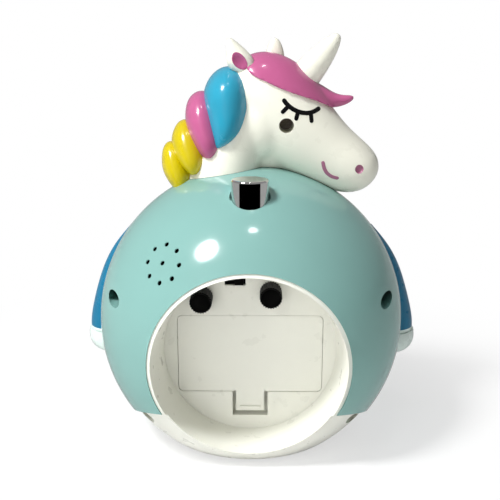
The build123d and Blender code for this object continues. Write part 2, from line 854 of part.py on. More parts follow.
def mesh_phase(phase, teeth, direction, mate_teeth):
    """The phase of a mate in that direction whose gap takes the nearest tooth."""
    past = ((direction - phase) * teeth / 360) % 1
    return direction + 180 + (0.5 + past) * 360 / mate_teeth


cannon_phase = heading(dial_axis, minute_axis)
minute_phase = mesh_phase(cannon_phase, cannon_teeth, cannon_phase, minute_teeth)
to_time = heading(minute_axis, time_axis)
time_phase = mesh_phase(minute_phase, minute_teeth, to_time, time_pinion)
minute_pinion_phase = heading(minute_axis, dial_axis)
hour_phase = mesh_phase(minute_pinion_phase, minute_pinion, minute_pinion_phase, hour_teeth)
centre_phase = heading(dial_axis, third_axis)
third_pinion_phase = mesh_phase(centre_phase, centre_teeth, centre_phase, third_pinion)
third_phase = heading(third_axis, dial_axis)
second_pinion_phase = mesh_phase(third_phase, third_teeth, third_phase, second_pinion)
second_phase = heading(dial_axis, middle_axis)
middle_pinion_phase = mesh_phase(second_phase, second_teeth, second_phase, middle_pinion)
middle_phase = heading(middle_axis, rotor_axis)
rotor_phase = mesh_phase(middle_phase, middle_teeth, middle_phase, rotor_pinion)
idler_phase = heading(idler_axis, dial_axis)
alarm_phase = mesh_phase(idler_phase, idler_teeth, idler_phase, alarm_teeth)
to_alarm = heading(idler_axis, alarm_axis)
alarm_pinion_phase = mesh_phase(idler_phase, idler_teeth, to_alarm, alarm_pinion)

# Radii of the nested tubes on the dial's axis, from the second arbor outwards
minute_bore = pivot_radius + tube_gap
minute_outer = minute_bore + tube_wall
hour_bore = minute_outer + tube_gap
hour_outer = hour_bore + tube_wall
alarm_bore = hour_outer + tube_gap
alarm_outer = alarm_bore + tube_wall
bush_bore = alarm_outer + tube_gap
alarm_hand_face = chassis_face + hand_lift
hour_hand_face = alarm_hand_face + hand_pitch
minute_hand_face = hour_hand_face + hand_pitch
second_hand_face = minute_hand_face + hand_pitch

# --- Movement: tray and front plate ------------------------------------------------------------
stator_places = [stator_left + stator_leg / 2, stator_right - stator_leg / 2]
core_above = stator_bottom + coil_radius
stator_posts = [(place, core_above) for place in stator_places]
with BuildPart() as movement_tray:
    case_plane = ahead(tray_rear, *case_shift)
    add(block(case_plane, case_size, tray_depth, corner=case_corner))
    room = block(layer(0, case_shift), case_inner, train_height, corner=case_corner - case_wall)
    add(room, mode=Mode.SUBTRACT)
    add(rod(layer(0, case_shift), corner_post, train_height, case_corners))
    add(rod(layer(0), stator_post_radius, stator_layer, stator_posts))
    middle_pin_height = third_layer + wheel_thickness + pinion_spare
    add(rod(layer(0), pivot_radius, middle_pin_height, [middle_axis]))
    blind_holes = [dial_axis, third_axis, minute_axis, rotor_axis]
    add(rod(layer(0), pivot_radius + pivot_gap, -blind, blind_holes), mode=Mode.SUBTRACT)
    for knob_place in (time_axis, alarm_axis):
        hole_plane = ahead(tray_rear - overrun, *knob_place)
        tray_cut = case_wall + 2 * overrun
        add(rod(hole_plane, arbor_radius + shaft_gap, tray_cut), mode=Mode.SUBTRACT)
    screw_start = layer(train_height, case_shift)
    add(rod(screw_start, small_bore, -small_screw_length, case_corners), mode=Mode.SUBTRACT)
finish(movement_tray, "movement_tray")

idler_stud_reach = train_height - alarm_layer + pinion_spare
with BuildPart() as movement_plate:
    plate_plane = ahead(plate_rear, *case_shift)
    add(block(plate_plane, case_size, plate_wall, corner=case_corner))
    add(rod(ahead(chassis_rear), bush_radius, bush_length))
    add(rod(ahead(plate_rear), bush_bore, plate_wall + bush_length), mode=Mode.SUBTRACT)
    tips = [third_axis, minute_axis, rotor_axis, time_axis, alarm_axis]
    add(rod(ahead(plate_rear), pivot_radius + pivot_gap, blind, tips), mode=Mode.SUBTRACT)
    add(rod(ahead(plate_rear), idler_stud_radius, -idler_stud_reach, [idler_axis]))
    shank_cut = rod(plate_plane, small_bore + fit_gap, plate_wall, case_corners)
    add(shank_cut, mode=Mode.SUBTRACT)
    sunk_plane = plate_plane.offset(plate_wall - small_head_height)
    head_cut = rod(sunk_plane, small_head_radius + fit_gap, plate_wall, case_corners)
    add(head_cut, mode=Mode.SUBTRACT)
finish(movement_plate, "movement_plate")

# --- Movement: the train from the rotor to the hands -------------------------------------------
plain_pinion = wheel_thickness + 2 * pinion_spare


def arbor(place, start, end):
    """A pivot pin along an axle, between two heights over the tray's floor."""
    return rod(layer(start, place), pivot_radius, end - start)


def hand(face, shape, bore):
    """A tapered hand with its hub, pointing at its clock angle."""
    length, half_width, clock_angle = shape
    outline = (
        (-half_width * hand_taper, -hand_tail),
        (half_width * hand_taper, -hand_tail),
        (half_width, 0),
        (half_width * hand_taper, length),
        (-half_width * hand_taper, length),
        (-half_width, 0),
    )
    with BuildPart() as form:
        with BuildSketch(ahead(face)):
            Polygon(*outline, rotation=-clock_angle, align=None)
            Circle(hand_hub)
            Circle(bore, mode=Mode.SUBTRACT)
        extrude(amount=hand_thickness)
    return form.part


with BuildPart() as second_wheel:
    second_tip = second_hand_face + hand_thickness - tray_floor
    add(arbor(dial_axis, -bearing_depth, second_tip))
    second_plane = layer(second_layer)
    add(gear(second_plane, wheel_thickness, second_teeth, rotor_module, second_phase))
    pinion_start = second_layer + wheel_thickness
    pinion_length = third_layer + wheel_thickness + pinion_spare - pinion_start
    add(gear(layer(pinion_start), pinion_length, second_pinion, third_module, second_pinion_phase))
finish(second_wheel, "second_wheel")

with BuildPart() as third_wheel:
    add(arbor(third_axis, -bearing_depth, train_height + bearing_depth))
    third_plane = layer(third_layer, third_axis)
    add(gear(third_plane, wheel_thickness, third_teeth, third_module, third_phase))
    pinion_start = third_layer + wheel_thickness
    pinion_length = centre_layer + wheel_thickness + pinion_spare - pinion_start
    pinion_plane = layer(pinion_start, third_axis)
    add(gear(pinion_plane, pinion_length, third_pinion, centre_module, third_pinion_phase))
finish(third_wheel, "third_wheel")

with BuildPart() as centre_wheel:
    tube_plane = layer(centre_layer)
    tube_length = minute_hand_face + hand_thickness - tray_floor - centre_layer
    add(rod(tube_plane, minute_outer, tube_length, bore=minute_bore))
    add(gear(tube_plane, wheel_thickness, centre_teeth, centre_module, centre_phase, minute_bore))
    pinion_start = centre_layer + wheel_thickness
    pinion_length = minute_layer + wheel_thickness + pinion_spare - pinion_start
    cannon_plane = layer(pinion_start)
    cannon = gear(cannon_plane, pinion_length, cannon_teeth, minute_module, cannon_phase, minute_bore)
    add(cannon)
finish(centre_wheel, "centre_wheel")

with BuildPart() as minute_wheel:
    add(arbor(minute_axis, -bearing_depth, train_height + bearing_depth))
    minute_plane = layer(minute_layer, minute_axis)
    add(gear(minute_plane, wheel_thickness, minute_teeth, minute_module, minute_phase))
    pinion_start = minute_layer + wheel_thickness
    pinion_length = hour_layer + wheel_thickness + pinion_spare - pinion_start
    pinion_plane = layer(pinion_start, minute_axis)
    add(gear(pinion_plane, pinion_length, minute_pinion, hour_module, minute_pinion_phase))
finish(minute_wheel, "minute_wheel")

with BuildPart() as hour_wheel:
    hour_plane = layer(hour_layer)
    tube_length = hour_hand_face + hand_thickness - tray_floor - hour_layer
    add(rod(hour_plane, hour_outer, tube_length, bore=hour_bore))
    add(gear(hour_plane, wheel_thickness, hour_teeth, hour_module, hour_phase, hour_bore))
finish(hour_wheel, "hour_wheel")

with BuildPart() as alarm_wheel:
    alarm_plane = layer(alarm_layer)
    tube_length = alarm_hand_face + hand_thickness - tray_floor - alarm_layer
    add(rod(alarm_plane, alarm_outer, tube_length, bore=alarm_bore))
    add(gear(alarm_plane, wheel_thickness, alarm_teeth, alarm_module, alarm_phase, alarm_bore))
finish(alarm_wheel, "alarm_wheel")

with BuildPart() as alarm_idler:
    idler_plane = layer(alarm_layer, idler_axis)
    idler_bore = idler_stud_radius + pivot_gap
    add(gear(idler_plane, wheel_thickness, idler_teeth, alarm_module, idler_phase, idler_bore))
finish(alarm_idler, "alarm_idler")

with BuildPart() as middle_wheel:
    pinion_length = third_layer - second_layer + pinion_spare
    pinion_plane = layer(second_layer - pinion_spare, middle_axis)
    middle_bore = pivot_radius + pivot_gap
    pinion = gear(
        pinion_plane, pinion_length, middle_pinion, rotor_module, middle_pinion_phase, middle_bore
    )
    add(pinion)
    wheel_plane = layer(third_layer, middle_axis)
    add(gear(wheel_plane, wheel_thickness, middle_teeth, rotor_module, middle_phase, middle_bore))
finish(middle_wheel, "middle_wheel")

with BuildPart() as rotor:
    add(arbor(rotor_axis, -bearing_depth, train_height + bearing_depth))
    pinion_plane = layer(third_layer - pinion_spare, rotor_axis)
    add(gear(pinion_plane, plain_pinion, rotor_pinion, rotor_module, rotor_phase))
    add(rod(layer(magnet_layer, rotor_axis), magnet_radius, magnet_height))
finish(rotor, "rotor")

# --- Hands -------------------------------------------------------------------------------------
with BuildPart() as second_hand:
    add(hand(second_hand_face, second_hand_shape, pivot_radius))
finish(second_hand, "second_hand")

with BuildPart() as minute_hand:
    add(hand(minute_hand_face, minute_hand_shape, minute_outer))
finish(minute_hand, "minute_hand")

with BuildPart() as hour_hand:
    add(hand(hour_hand_face, hour_hand_shape, hour_outer))
finish(hour_hand, "hour_hand")

with BuildPart() as alarm_hand:
    add(hand(alarm_hand_face, alarm_hand_shape, alarm_outer))
finish(alarm_hand, "alarm_hand")

# --- Movement: stator and coil -----------------------------------------------------------------
core_wide = stator_right - stator_left
stator_tall = stator_top - stator_bottom
leg_tall = 2 * coil_radius + coil_gap
with BuildPart() as stator:
    stator_middle = ((stator_left + stator_right) / 2, (stator_top + stator_bottom) / 2)
    stator_size = (core_wide, stator_tall)
    add(block(layer(stator_layer, stator_middle), stator_size, wheel_thickness))
    window_size = (core_wide - 2 * stator_leg, 2 * leg_tall)
    window_place = (stator_middle[0], stator_bottom)
    window = block(layer(stator_layer, window_place), window_size, wheel_thickness)
    add(window, mode=Mode.SUBTRACT)
    add(rod(layer(stator_layer, rotor_axis), stator_hole, wheel_thickness), mode=Mode.SUBTRACT)
finish(stator, "stator")

core_layer = stator_layer + wheel_thickness
coil_length = core_wide - 2 * stator_leg - 2 * coil_gap
with BuildPart() as coil:
    core_place = (stator_middle[0], core_above)
    add(block(layer(core_layer, core_place), (core_wide, core_width), wheel_thickness))
    winding_plane = Plane(
        (
            stator_middle[0] - coil_length / 2,
            -tray_floor - core_layer - wheel_thickness / 2,
            centre_height + core_above,
        ),
        x_dir=(0, 0, 1),
        z_dir=(1, 0, 0),
    )
    add(rod(winding_plane, coil_radius, coil_length))
finish(coil, "coil")

# --- Setting arbors and knobs ------------------------------------------------------------------
knob_start = panel_behind + knob_clear


def knob(place):
    with BuildPart() as form:
        with BuildSketch(ahead(-knob_start, *place)):
            Circle(knob_radius)
            with PolarLocations(knob_radius, knob_ribs):
                Circle(knob_rib_depth, mode=Mode.SUBTRACT)
        extrude(amount=-knob_length)
        cap_plane = ahead(-knob_start - knob_length, *place)
        add(rod(cap_plane, knob_radius - knob_cap, -knob_cap))
        bore_depth = knob_length - knob_end_wall
        add(rod(ahead(-knob_start, *place), arbor_radius, -bore_depth), mode=Mode.SUBTRACT)
    return form.part


def setting_arbor(place, gear_layer, teeth, phase):
    """A shaft from a knob to its pinion, with a pivot in the front plate."""
    with BuildPart() as form:
        rear_end = knob_end_wall - knob_start - knob_length
        front_end = tray_floor + gear_layer + wheel_thickness + pinion_spare
        add(rod(ahead(rear_end, *place), arbor_radius, front_end - rear_end))
        add(rod(ahead(front_end, *place), pivot_radius, plate_rear + bearing_depth - front_end))
        pinion_plane = layer(gear_layer - pinion_spare, place)
        add(gear(pinion_plane, plain_pinion, teeth, alarm_module, phase))
    return form.part


with BuildPart() as time_arbor:
    add(setting_arbor(time_axis, minute_layer, time_pinion, time_phase))
finish(time_arbor, "time_arbor")

with BuildPart() as alarm_arbor:
    add(setting_arbor(alarm_axis, alarm_layer, alarm_pinion, alarm_pinion_phase))
finish(alarm_arbor, "alarm_arbor")

with BuildPart() as time_knob:
    add(knob(time_axis))
finish(time_knob, "time_knob")

with BuildPart() as alarm_knob:
    add(knob(alarm_axis))
finish(alarm_knob, "alarm_knob")

# --- Cells and their contacts ------------------------------------------------------------------
cell_behind = panel_rear - bay_depth / 2
cell_pitch = 2 * cell_radius + cell_gap
cell_rows = [(door_middle + side * cell_pitch / 2, side) for side in (1, -1)]
bay_end = bay_length / 2
nub_end = bay_end - plate_thickness - fit_gap


def along_bay(start, above, side):
    """A plane across a cell, facing the side +1 or -1 that its button end points to."""
    place = (side * start, cell_behind, centre_height + above)
    return Plane(place, x_dir=(0, 1, 0), z_dir=(side, 0, 0))


with BuildPart() as battery_cells:
    for above, side in cell_rows:
        body_end = nub_end - nub_length
        add(rod(along_bay(body_end, above, side), cell_radius, -cell_length))
        add(rod(along_bay(body_end, above, side), nub_radius, nub_length))
finish(battery_cells, "battery_cells")

with BuildPart() as battery_plates:
    for above, side in cell_rows:
        for end in (bay_end - plate_thickness, -bay_end):
            plate_pair = (plate_size, plate_size)
            add(block(along_bay(end, above, side), plate_pair, plate_thickness))
finish(battery_plates, "battery_plates")

with BuildPart() as battery_springs:
    for above, side in cell_rows:
        spring_start = -bay_end + plate_thickness + thread_gap
        spring_height = nub_end - nub_length - cell_length - spring_start - thread_gap
        spring_plane = along_bay(spring_start, above, side)
        add(coil_spring(spring_plane, bay_spring_radius, wire_radius, spring_height, bay_spring_turns))
finish(battery_springs, "battery_springs")

# --- Main board --------------------------------------------------------------------------------
board_bore = small_bore + fit_gap
with BuildPart() as main_board:
    board_size = (board_width, board_height)
    add(block(board_plane, board_size, board_thickness))
    add(rod(board_plane, board_bore, board_thickness, board_holes), mode=Mode.SUBTRACT)
    chip_plane = board_plane.offset(board_thickness)
    add(block(chip_plane, chip_size[:2], chip_size[2]))
finish(main_board, "main_board")

# --- Alarm slide switch ------------------------------------------------------------------------
slide_rest = (slide_place[0] - slide_travel / 2, slide_place[1])
track_depth = slide_base[2] + 2 * slide_gap
track_length = slide_base[0] + slide_travel + 2 * slide_end_gap
track_size = (track_length, slide_base[1] + 2 * slide_gap)
slide_plane = ahead(-panel_rear, *slide_place)
with BuildPart() as slide_switch:
    add(block(slide_plane, slide_body[:2], slide_body[2]))
    add(block(slide_plane, track_size, track_depth), mode=Mode.SUBTRACT)
finish(slide_switch, "slide_switch")

with BuildPart() as slide_knob:
    base_plane = ahead(slide_gap - panel_rear, *slide_rest)
    add(block(base_plane, slide_base[:2], slide_base[2]))
    add(block(base_plane, slide_tab, -(slide_gap + panel_wall + slide_proud)))
finish(slide_knob, "slide_knob")

# --- Sounder -----------------------------------------------------------------------------------
with BuildPart() as sounder:
    add(rod(sound_plane(sounder_face), sounder_radius, -sounder_thickness))
finish(sounder, "sounder")

# --- Snooze and light button -------------------------------------------------------------------
button_bottom = button_top - button_length
flange_bottom = guide_bottom - button_gap - button_flange
with BuildPart() as snooze_button:
    add(rod(button_middle.offset(button_bottom), button_radius, button_length))
    top_edge = snooze_button.edges().filter_by(GeomType.CIRCLE).sort_by(Axis.Z)[-1]
    fillet(top_edge, button_round)
    add(rod(button_middle.offset(flange_bottom), button_flange_radius, button_flange))
    plunger_top = snooze_board_height + switch_height + plunger_height
    post_bottom = plunger_top + button_travel + press_gap
    post_length = button_bottom - post_bottom
    add(rod(button_middle.offset(post_bottom), button_post_radius, post_length))
finish(snooze_button, "snooze_button")

board_top = button_middle.offset(snooze_board_height)
with BuildPart() as snooze_board:
    snooze_size = (snooze_board_length, snooze_board_width)
    add(block(board_top, snooze_size, -board_thickness))
    add(rod(board_top, board_bore, -board_thickness, stand_places), mode=Mode.SUBTRACT)
finish(snooze_board, "snooze_board")

with BuildPart() as snooze_switch:
    add(block(board_top, (switch_side, switch_side), switch_height))
    add(rod(board_top.offset(switch_height), plunger_radius, plunger_height))
finish(snooze_switch, "snooze_switch")

with BuildPart() as snooze_spring:
    snooze_spring_height = button_bottom - snooze_board_height - 2 * thread_gap
    spring_base = board_top.offset(thread_gap)
    add(coil_spring(spring_base, spring_radius, wire_radius, snooze_spring_height, spring_turns))
finish(snooze_spring, "snooze_spring")

# --- Screws ------------------------------------------------------------------------------------
case_shape = (screw_radius, screw_length, screw_head_radius, screw_head_height)
inner_shape = (screw_radius, inner_screw_length, screw_head_radius, screw_head_height)
small_shape = (small_screw_radius, small_screw_length, small_head_radius, small_head_height)


def flipped(plane):
    """The same place, facing the other way."""
    return Plane(plane.origin, x_dir=plane.x_dir, z_dir=-plane.z_dir)


with BuildPart() as case_screws:
    add(screws(ahead(-well_seat), case_screw_places, *case_shape))
    head_screw_place = (-head_screw[0], head_screw[1])
    head_screw_seat = ahead(head_ahead - well_floor, above=ball_radius)
    add(screws(head_screw_seat, [head_screw_place], *case_shape))
finish(case_screws, "case_screws")

with BuildPart() as inner_screws:
    inner_seat = sqrt(inner_radius**2 - screw_head_radius**2) - thread_gap
    for screw_plane in inner_screw_planes(inner_seat):
        add(screws(screw_plane, [(0, 0)], *inner_shape))
finish(inner_screws, "inner_screws")

with BuildPart() as small_screws:
    add(screws(ahead(chassis_rear), chassis_screw_places, *small_shape))
    add(screws(flipped(board_plane.offset(board_thickness)), board_holes, *small_shape))
    under_board = button_middle.offset(snooze_board_height - board_thickness)
    add(screws(under_board, stand_places, *small_shape))
    add(screws(flipped(sunk_plane), case_corners, *small_shape))
finish(small_screws, "small_screws")

# --- Unicorn head ------------------------------------------------------------------------------
head_height = centre_height + ball_radius
head_middle = Plane((0, -head_ahead, head_height), x_dir=(-1, 0, 0), z_dir=(0, 1, 0))
seat_ball = ball(ball_radius + head_seat)


def head_point(towards, above, side=0):
    """A point of the head, so far to the side of its middle plane, rearwards positive."""
    return (-towards, side - head_ahead, head_height + above)


def face_plane(distance, lift):
    """A plane across the face, facing the nose."""
    along = radians(face_slope)
    towards = face_start[0] + distance * cos(along) + lift * sin(along)
    above = face_start[1] - distance * sin(along) + lift * cos(along)
    normal = (-cos(along), 0, -sin(along))
    return Plane(head_point(towards, above), x_dir=(0, -1, 0), z_dir=normal)


def face_form(growth):
    stations = []
    for distance, lift, half_height, half_thick in face_sections:
        if min(half_height, half_thick) + growth > least_section:
            plane = face_plane(distance, lift)
            stations.append((plane, half_thick + growth, half_height + growth))
    return ellipse_loft(stations)


def upright_form(sections, growth=0, side=0):
    """A solid through level ellipses of the head, each given as on the neck."""
    stations = []
    for above, towards, half_length, half_thick in sections:
        plane = Plane(head_point(towards, above, side), x_dir=(1, 0, 0), z_dir=(0, 0, 1))
        stations.append((plane, half_length + growth, half_thick + growth))
    return ellipse_loft(stations)


with BuildPart() as head_form:
    add(face_form(0))
    add(upright_form(neck_sections))
    add(seat_ball, mode=Mode.SUBTRACT)

with BuildPart() as head_room:
    add(face_form(-head_wall))
    add(upright_form(neck_sections, -head_wall))

head_screw_at = [head_screw]
with BuildPart() as neck_posts:
    for place in neck_screws:
        add(rod(neck_screw_plane(place, ball_radius), neck_post_radius, neck_post_length))
    web_plane = ahead(neck_screws[0][1] - neck_web / 2, above=ball_radius)
    add(block(web_plane, (2 * ball_radius, neck_web_height), neck_web))

with BuildPart() as neck_pilots:
    for place in neck_screws:
        pilot_plane = neck_screw_plane(place, ball_radius - overrun)
        add(rod(pilot_plane, screw_bore, inner_pilot + overrun))

with BuildPart() as head_front:
    add(head_form.part)
    add(head_room.part, mode=Mode.SUBTRACT)
    add(neck_posts.part)
    add(rod(head_middle, post_radius, -ball_radius, head_screw_at))
    add(head_form.part, mode=Mode.INTERSECT)
    split(bisect_by=head_middle, keep=Keep.BOTTOM)
    add(rod(head_middle, screw_bore, -case_pilot, head_screw_at), mode=Mode.SUBTRACT)
    add(neck_pilots.part, mode=Mode.SUBTRACT)
finish(head_front, "head_front")

head_seat_plane = head_middle.offset(well_floor)
with BuildPart() as head_rear:
    add(head_form.part)
    add(head_room.part, mode=Mode.SUBTRACT)
    add(rod(head_middle, well_radius + well_wall, ball_radius, head_screw_at))
    add(head_form.part, mode=Mode.INTERSECT)
    split(bisect_by=head_middle, keep=Keep.TOP)
    add(rod(head_seat_plane, well_radius, ball_radius, head_screw_at), mode=Mode.SUBTRACT)
    add(rod(head_middle, screw_hole, well_floor, head_screw_at), mode=Mode.SUBTRACT)
finish(head_rear, "head_rear")

# --- Forelock, horn, ears and mane, each cut to what it lies on --------------------------------
prism_plane = head_middle.offset(-ball_radius)
with BuildPart() as forelock:
    add(face_form(forelock_thickness))
    with BuildSketch(prism_plane):
        Polygon(*forelock_outline, align=None)
    extrude(amount=2 * ball_radius, mode=Mode.INTERSECT)
    flick = []
    for towards, above, radius in flick_sections:
        plane = Plane(head_point(towards, above), x_dir=(0, 1, 0), z_dir=(-1, 0, 0))
        flick.append((plane, radius * flick_width, radius))
    add(ellipse_loft(flick))
    add(head_form.part, mode=Mode.SUBTRACT)
finish(forelock, "forelock")

with BuildPart() as horn:
    horn_lean = radians(horn_slope)
    stations = []
    for towards, above, radius in horn_sections:
        normal = (-cos(horn_lean), 0, sin(horn_lean))
        plane = Plane(head_point(towards, above), x_dir=(0, 1, 0), z_dir=normal)
        stations.append((plane, radius, radius))
    add(ellipse_loft(stations))
    tip_edge = horn.edges().sort_by(Axis.Z)[-1]
    fillet(tip_edge, horn_tip_round)
    add(head_form.part, mode=Mode.SUBTRACT)
    add(forelock.part, mode=Mode.SUBTRACT)
finish(horn, "horn")


def ear(sections, side):
    stations = [(above, towards, length, thick) for towards, above, length, thick in sections]
    with BuildPart() as form:
        add(upright_form(stations, side=side))
        add(head_form.part, mode=Mode.SUBTRACT)
        add(forelock.part, mode=Mode.SUBTRACT)
        add(horn.part, mode=Mode.SUBTRACT)
    return form.part


with BuildPart() as rear_ear:
    add(ear(rear_ear_sections, ear_side))
finish(rear_ear, "rear_ear")

with BuildPart() as front_ear:
    add(ear(front_ear_sections, -ear_side))
finish(front_ear, "front_ear")


def lock(shape, neighbours):
    """A fat lock of the mane: an egg leant towards the nose, cut to what it lies on."""
    (towards, above), half_length, half_width, half_thick, lean = shape
    across_lean, up_lean = sin(radians(lean)), cos(radians(lean))
    stations = []
    for turn in lock_turns:
        rise, girth = half_length * sin(radians(turn)), cos(radians(turn))
        place = head_point(towards + rise * across_lean, above + rise * up_lean)
        plane = Plane(place, x_dir=(0, 1, 0), z_dir=(-across_lean, 0, up_lean))
        stations.append((plane, half_thick * girth, half_width * girth))
    with BuildPart() as form:
        add(ellipse_loft(stations))
        add(head_form.part, mode=Mode.SUBTRACT)
        add(seat_ball, mode=Mode.SUBTRACT)
        for neighbour in neighbours:
            add(neighbour.part, mode=Mode.SUBTRACT)
    return form.part


with BuildPart() as mane_blue:
    add(lock(blue_lock, [forelock, rear_ear, front_ear]))
finish(mane_blue, "mane_blue")

with BuildPart() as mane_pink:
    add(lock(pink_lock, [mane_blue]))
finish(mane_pink, "mane_pink")

with BuildPart() as mane_yellow_high:
    add(lock(upper_yellow_lock, [mane_blue, mane_pink]))
finish(mane_yellow_high, "mane_yellow_high")

with BuildPart() as mane_yellow_low:
    add(lock(lower_yellow_lock, [mane_blue, mane_pink, mane_yellow_high]))
finish(mane_yellow_low, "mane_yellow_low")

# --- Forelegs ----------------------------------------------------------------------------------
leg_ball = ball(ball_radius + leg_seat)


def leg_form(sections, side):
    stations = []
    for above, proud, half_out, half_wide in sections:
        reach = sqrt(ball_radius**2 - above**2) + proud
        place = (side * (reach - half_out), -leg_ahead, centre_height + above)
        plane = Plane(place, x_dir=(1, 0, 0), z_dir=(0, 0, -1))
        stations.append((plane, half_out, half_wide))
    with BuildPart() as form:
        add(ellipse_loft(stations))
        add(leg_ball, mode=Mode.SUBTRACT)
    return form.part


for side, side_name in ((1, "right"), (-1, "left")):
    with BuildPart() as foreleg:
        add(leg_form(leg_sections, side))
        pilot_plane = leg_screw_plane(side, ball_radius - overrun)
        add(rod(pilot_plane, screw_bore, inner_pilot + overrun), mode=Mode.SUBTRACT)
    finish(foreleg, f"foreleg_{side_name}")

    with BuildPart() as hoof:
        add(leg_form(hoof_sections, side))
    finish(hoof, f"hoof_{side_name}")
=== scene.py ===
import math

import bpy
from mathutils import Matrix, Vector


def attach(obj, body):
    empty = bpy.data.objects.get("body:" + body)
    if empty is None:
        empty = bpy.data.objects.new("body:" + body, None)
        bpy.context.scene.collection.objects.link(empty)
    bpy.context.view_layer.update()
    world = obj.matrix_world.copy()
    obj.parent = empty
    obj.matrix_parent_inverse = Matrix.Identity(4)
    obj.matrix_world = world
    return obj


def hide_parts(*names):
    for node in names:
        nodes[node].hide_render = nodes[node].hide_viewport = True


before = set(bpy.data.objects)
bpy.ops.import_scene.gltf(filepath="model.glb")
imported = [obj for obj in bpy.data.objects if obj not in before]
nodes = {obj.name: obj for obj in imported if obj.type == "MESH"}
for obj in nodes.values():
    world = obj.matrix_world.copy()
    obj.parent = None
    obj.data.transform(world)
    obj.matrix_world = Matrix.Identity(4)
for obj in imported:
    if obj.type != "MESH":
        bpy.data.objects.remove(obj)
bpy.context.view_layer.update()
mm = 0.001

# The ball carries everything. "towards" is the way the nose points, which is -X,
# and "above" is over the middle of the ball. Lengths are in millimetres.
ball = {"radius": 65.0, "middle": 50.0, "headPlane": -6.0, "segments": 160, "rings": 80}
softEdge = 50  # degrees up to which a skin is shaded smooth
rollEdge = 60  # the same for locks and strokes of paint


# handling of pieces
def clearSelection():
    if bpy.context.object and bpy.context.object.mode != "OBJECT":
        bpy.ops.object.mode_set(mode="OBJECT")
    bpy.ops.object.select_all(action="DESELECT")


def activate(piece):
    clearSelection()
    piece.select_set(True)
    bpy.context.view_layer.objects.active = piece


def keepPlace(piece):  # the object goes back to the origin and its place goes into the mesh
    activate(piece)
    bpy.ops.object.transform_apply(location=True, rotation=True, scale=True)


def applyModifier(piece, kind, **settings):
    activate(piece)
    modifier = piece.modifiers.new(kind.title(), kind)
    for key, value in settings.items():
        setattr(modifier, key, value)
    bpy.ops.object.modifier_apply(modifier=modifier.name)


def closeMesh(piece, apart=1e-6):
    activate(piece)
    bpy.ops.object.mode_set(mode="EDIT")
    bpy.ops.mesh.select_all(action="SELECT")
    bpy.ops.mesh.remove_doubles(threshold=apart)
    bpy.ops.mesh.normals_make_consistent(inside=False)
    bpy.ops.object.mode_set(mode="OBJECT")


def smoothShade(piece, degrees=softEdge):
    activate(piece)
    bpy.ops.object.shade_smooth_by_angle(angle=math.radians(degrees))


def copyPiece(piece, name):
    activate(piece)
    bpy.ops.object.duplicate()
    twin = bpy.context.object
    twin.name = name
    return twin


def joined(pieces):
    activate(pieces[0])
    for piece in pieces[1:]:
        piece.select_set(True)
    bpy.ops.object.join()
    return bpy.context.object


def drop(piece):
    bpy.data.objects.remove(piece, do_unlink=True)


def cut(piece, tool, operation="DIFFERENCE", keepTool=False):
    applyModifier(piece, "BOOLEAN", object=tool, operation=operation, solver="EXACT")
    if not keepTool:
        drop(tool)


def seat(piece, name, material, body="case", stands=()):
    piece.name = name
    piece.data.name = name
    piece.data.materials.clear()
    piece.data.materials.append(material)
    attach(piece, body)
    if stands:
        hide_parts(*stands)
    return piece


def spot(towards, above, side=0.0):  # a place in the head's own measures, in metres
    return Vector((-towards * mm, (ball["headPlane"] + side) * mm, (ball["middle"] + above) * mm))


# chains: a round section is extruded from station to station
def turnSection(degrees, middle):
    if degrees:
        value = -math.radians(degrees)
        bpy.ops.transform.rotate(value=value, orient_axis="Y", center_override=middle)


def chain(stations, sides=32):  # of middle, half size across, half size along Y, tilt about Y
    clearSelection()
    middle, across, thick, tilt = stations[0]
    bpy.ops.mesh.primitive_circle_add(vertices=sides, radius=1, fill_type="NGON", location=middle)
    piece = bpy.context.object
    piece.scale = (across * mm, thick * mm, 1)
    keepPlace(piece)
    bpy.ops.object.mode_set(mode="EDIT")
    bpy.ops.mesh.select_all(action="SELECT")
    turnSection(tilt, middle)
    last = (middle, across, thick, tilt)
    for middle, across, thick, tilt in stations[1:]:
        was, wide, deep, lean = last
        bpy.ops.mesh.extrude_region_move(TRANSFORM_OT_translate={"value": middle - was})
        turnSection(-lean, middle)
        bpy.ops.transform.resize(value=(across / wide, thick / deep, 1), center_override=middle)
        turnSection(tilt, middle)
        last = (middle, across, thick, tilt)
    bpy.ops.mesh.select_all(action="SELECT")
    bpy.ops.mesh.normals_make_consistent(inside=False)
    bpy.ops.object.mode_set(mode="OBJECT")
    return piece


# materials: moulded and painted plastics, plated and plain metal, card, wire
toneBand = (0.35, 0.65)  # the part of a speckle that is spread over the tones
roughBand = (0.3, 0.7)


def paint(red, green, blue):  # a finish as it looks on a screen, turned into the shader's scale
    def linear(value):
        share = value / 255
        return share / 12.92 if share <= 0.04045 else ((share + 0.055) / 1.055) ** 2.4

    return (linear(red), linear(green), linear(blue), 1)


def shade(base, factor):
    return tuple(min(1, part * factor) for part in base[:3]) + (1,)


def newFinish(name, base, rough, **settings):
    finish = bpy.data.materials.new(name)
    finish.use_nodes = True
    shader = finish.node_tree.nodes["Principled BSDF"]
    shader.inputs["Base Color"].default_value = base
    shader.inputs["Roughness"].default_value = rough
    for key, value in settings.items():
        shader.inputs[key.replace("_", " ")].default_value = value
    return finish, finish.node_tree, shader


def speckle(tree, scale, detail, stretch=(1, 1, 1)):
    place = tree.nodes.new("ShaderNodeTexCoord")
    mapping = tree.nodes.new("ShaderNodeMapping")
    mapping.inputs["Scale"].default_value = stretch
    noise = tree.nodes.new("ShaderNodeTexNoise")
    noise.inputs["Scale"].default_value = scale
    noise.inputs["Detail"].default_value = detail
    tree.links.new(place.outputs["Object"], mapping.inputs["Vector"])
    tree.links.new(mapping.outputs["Vector"], noise.inputs["Vector"])
    return noise.outputs["Fac"]


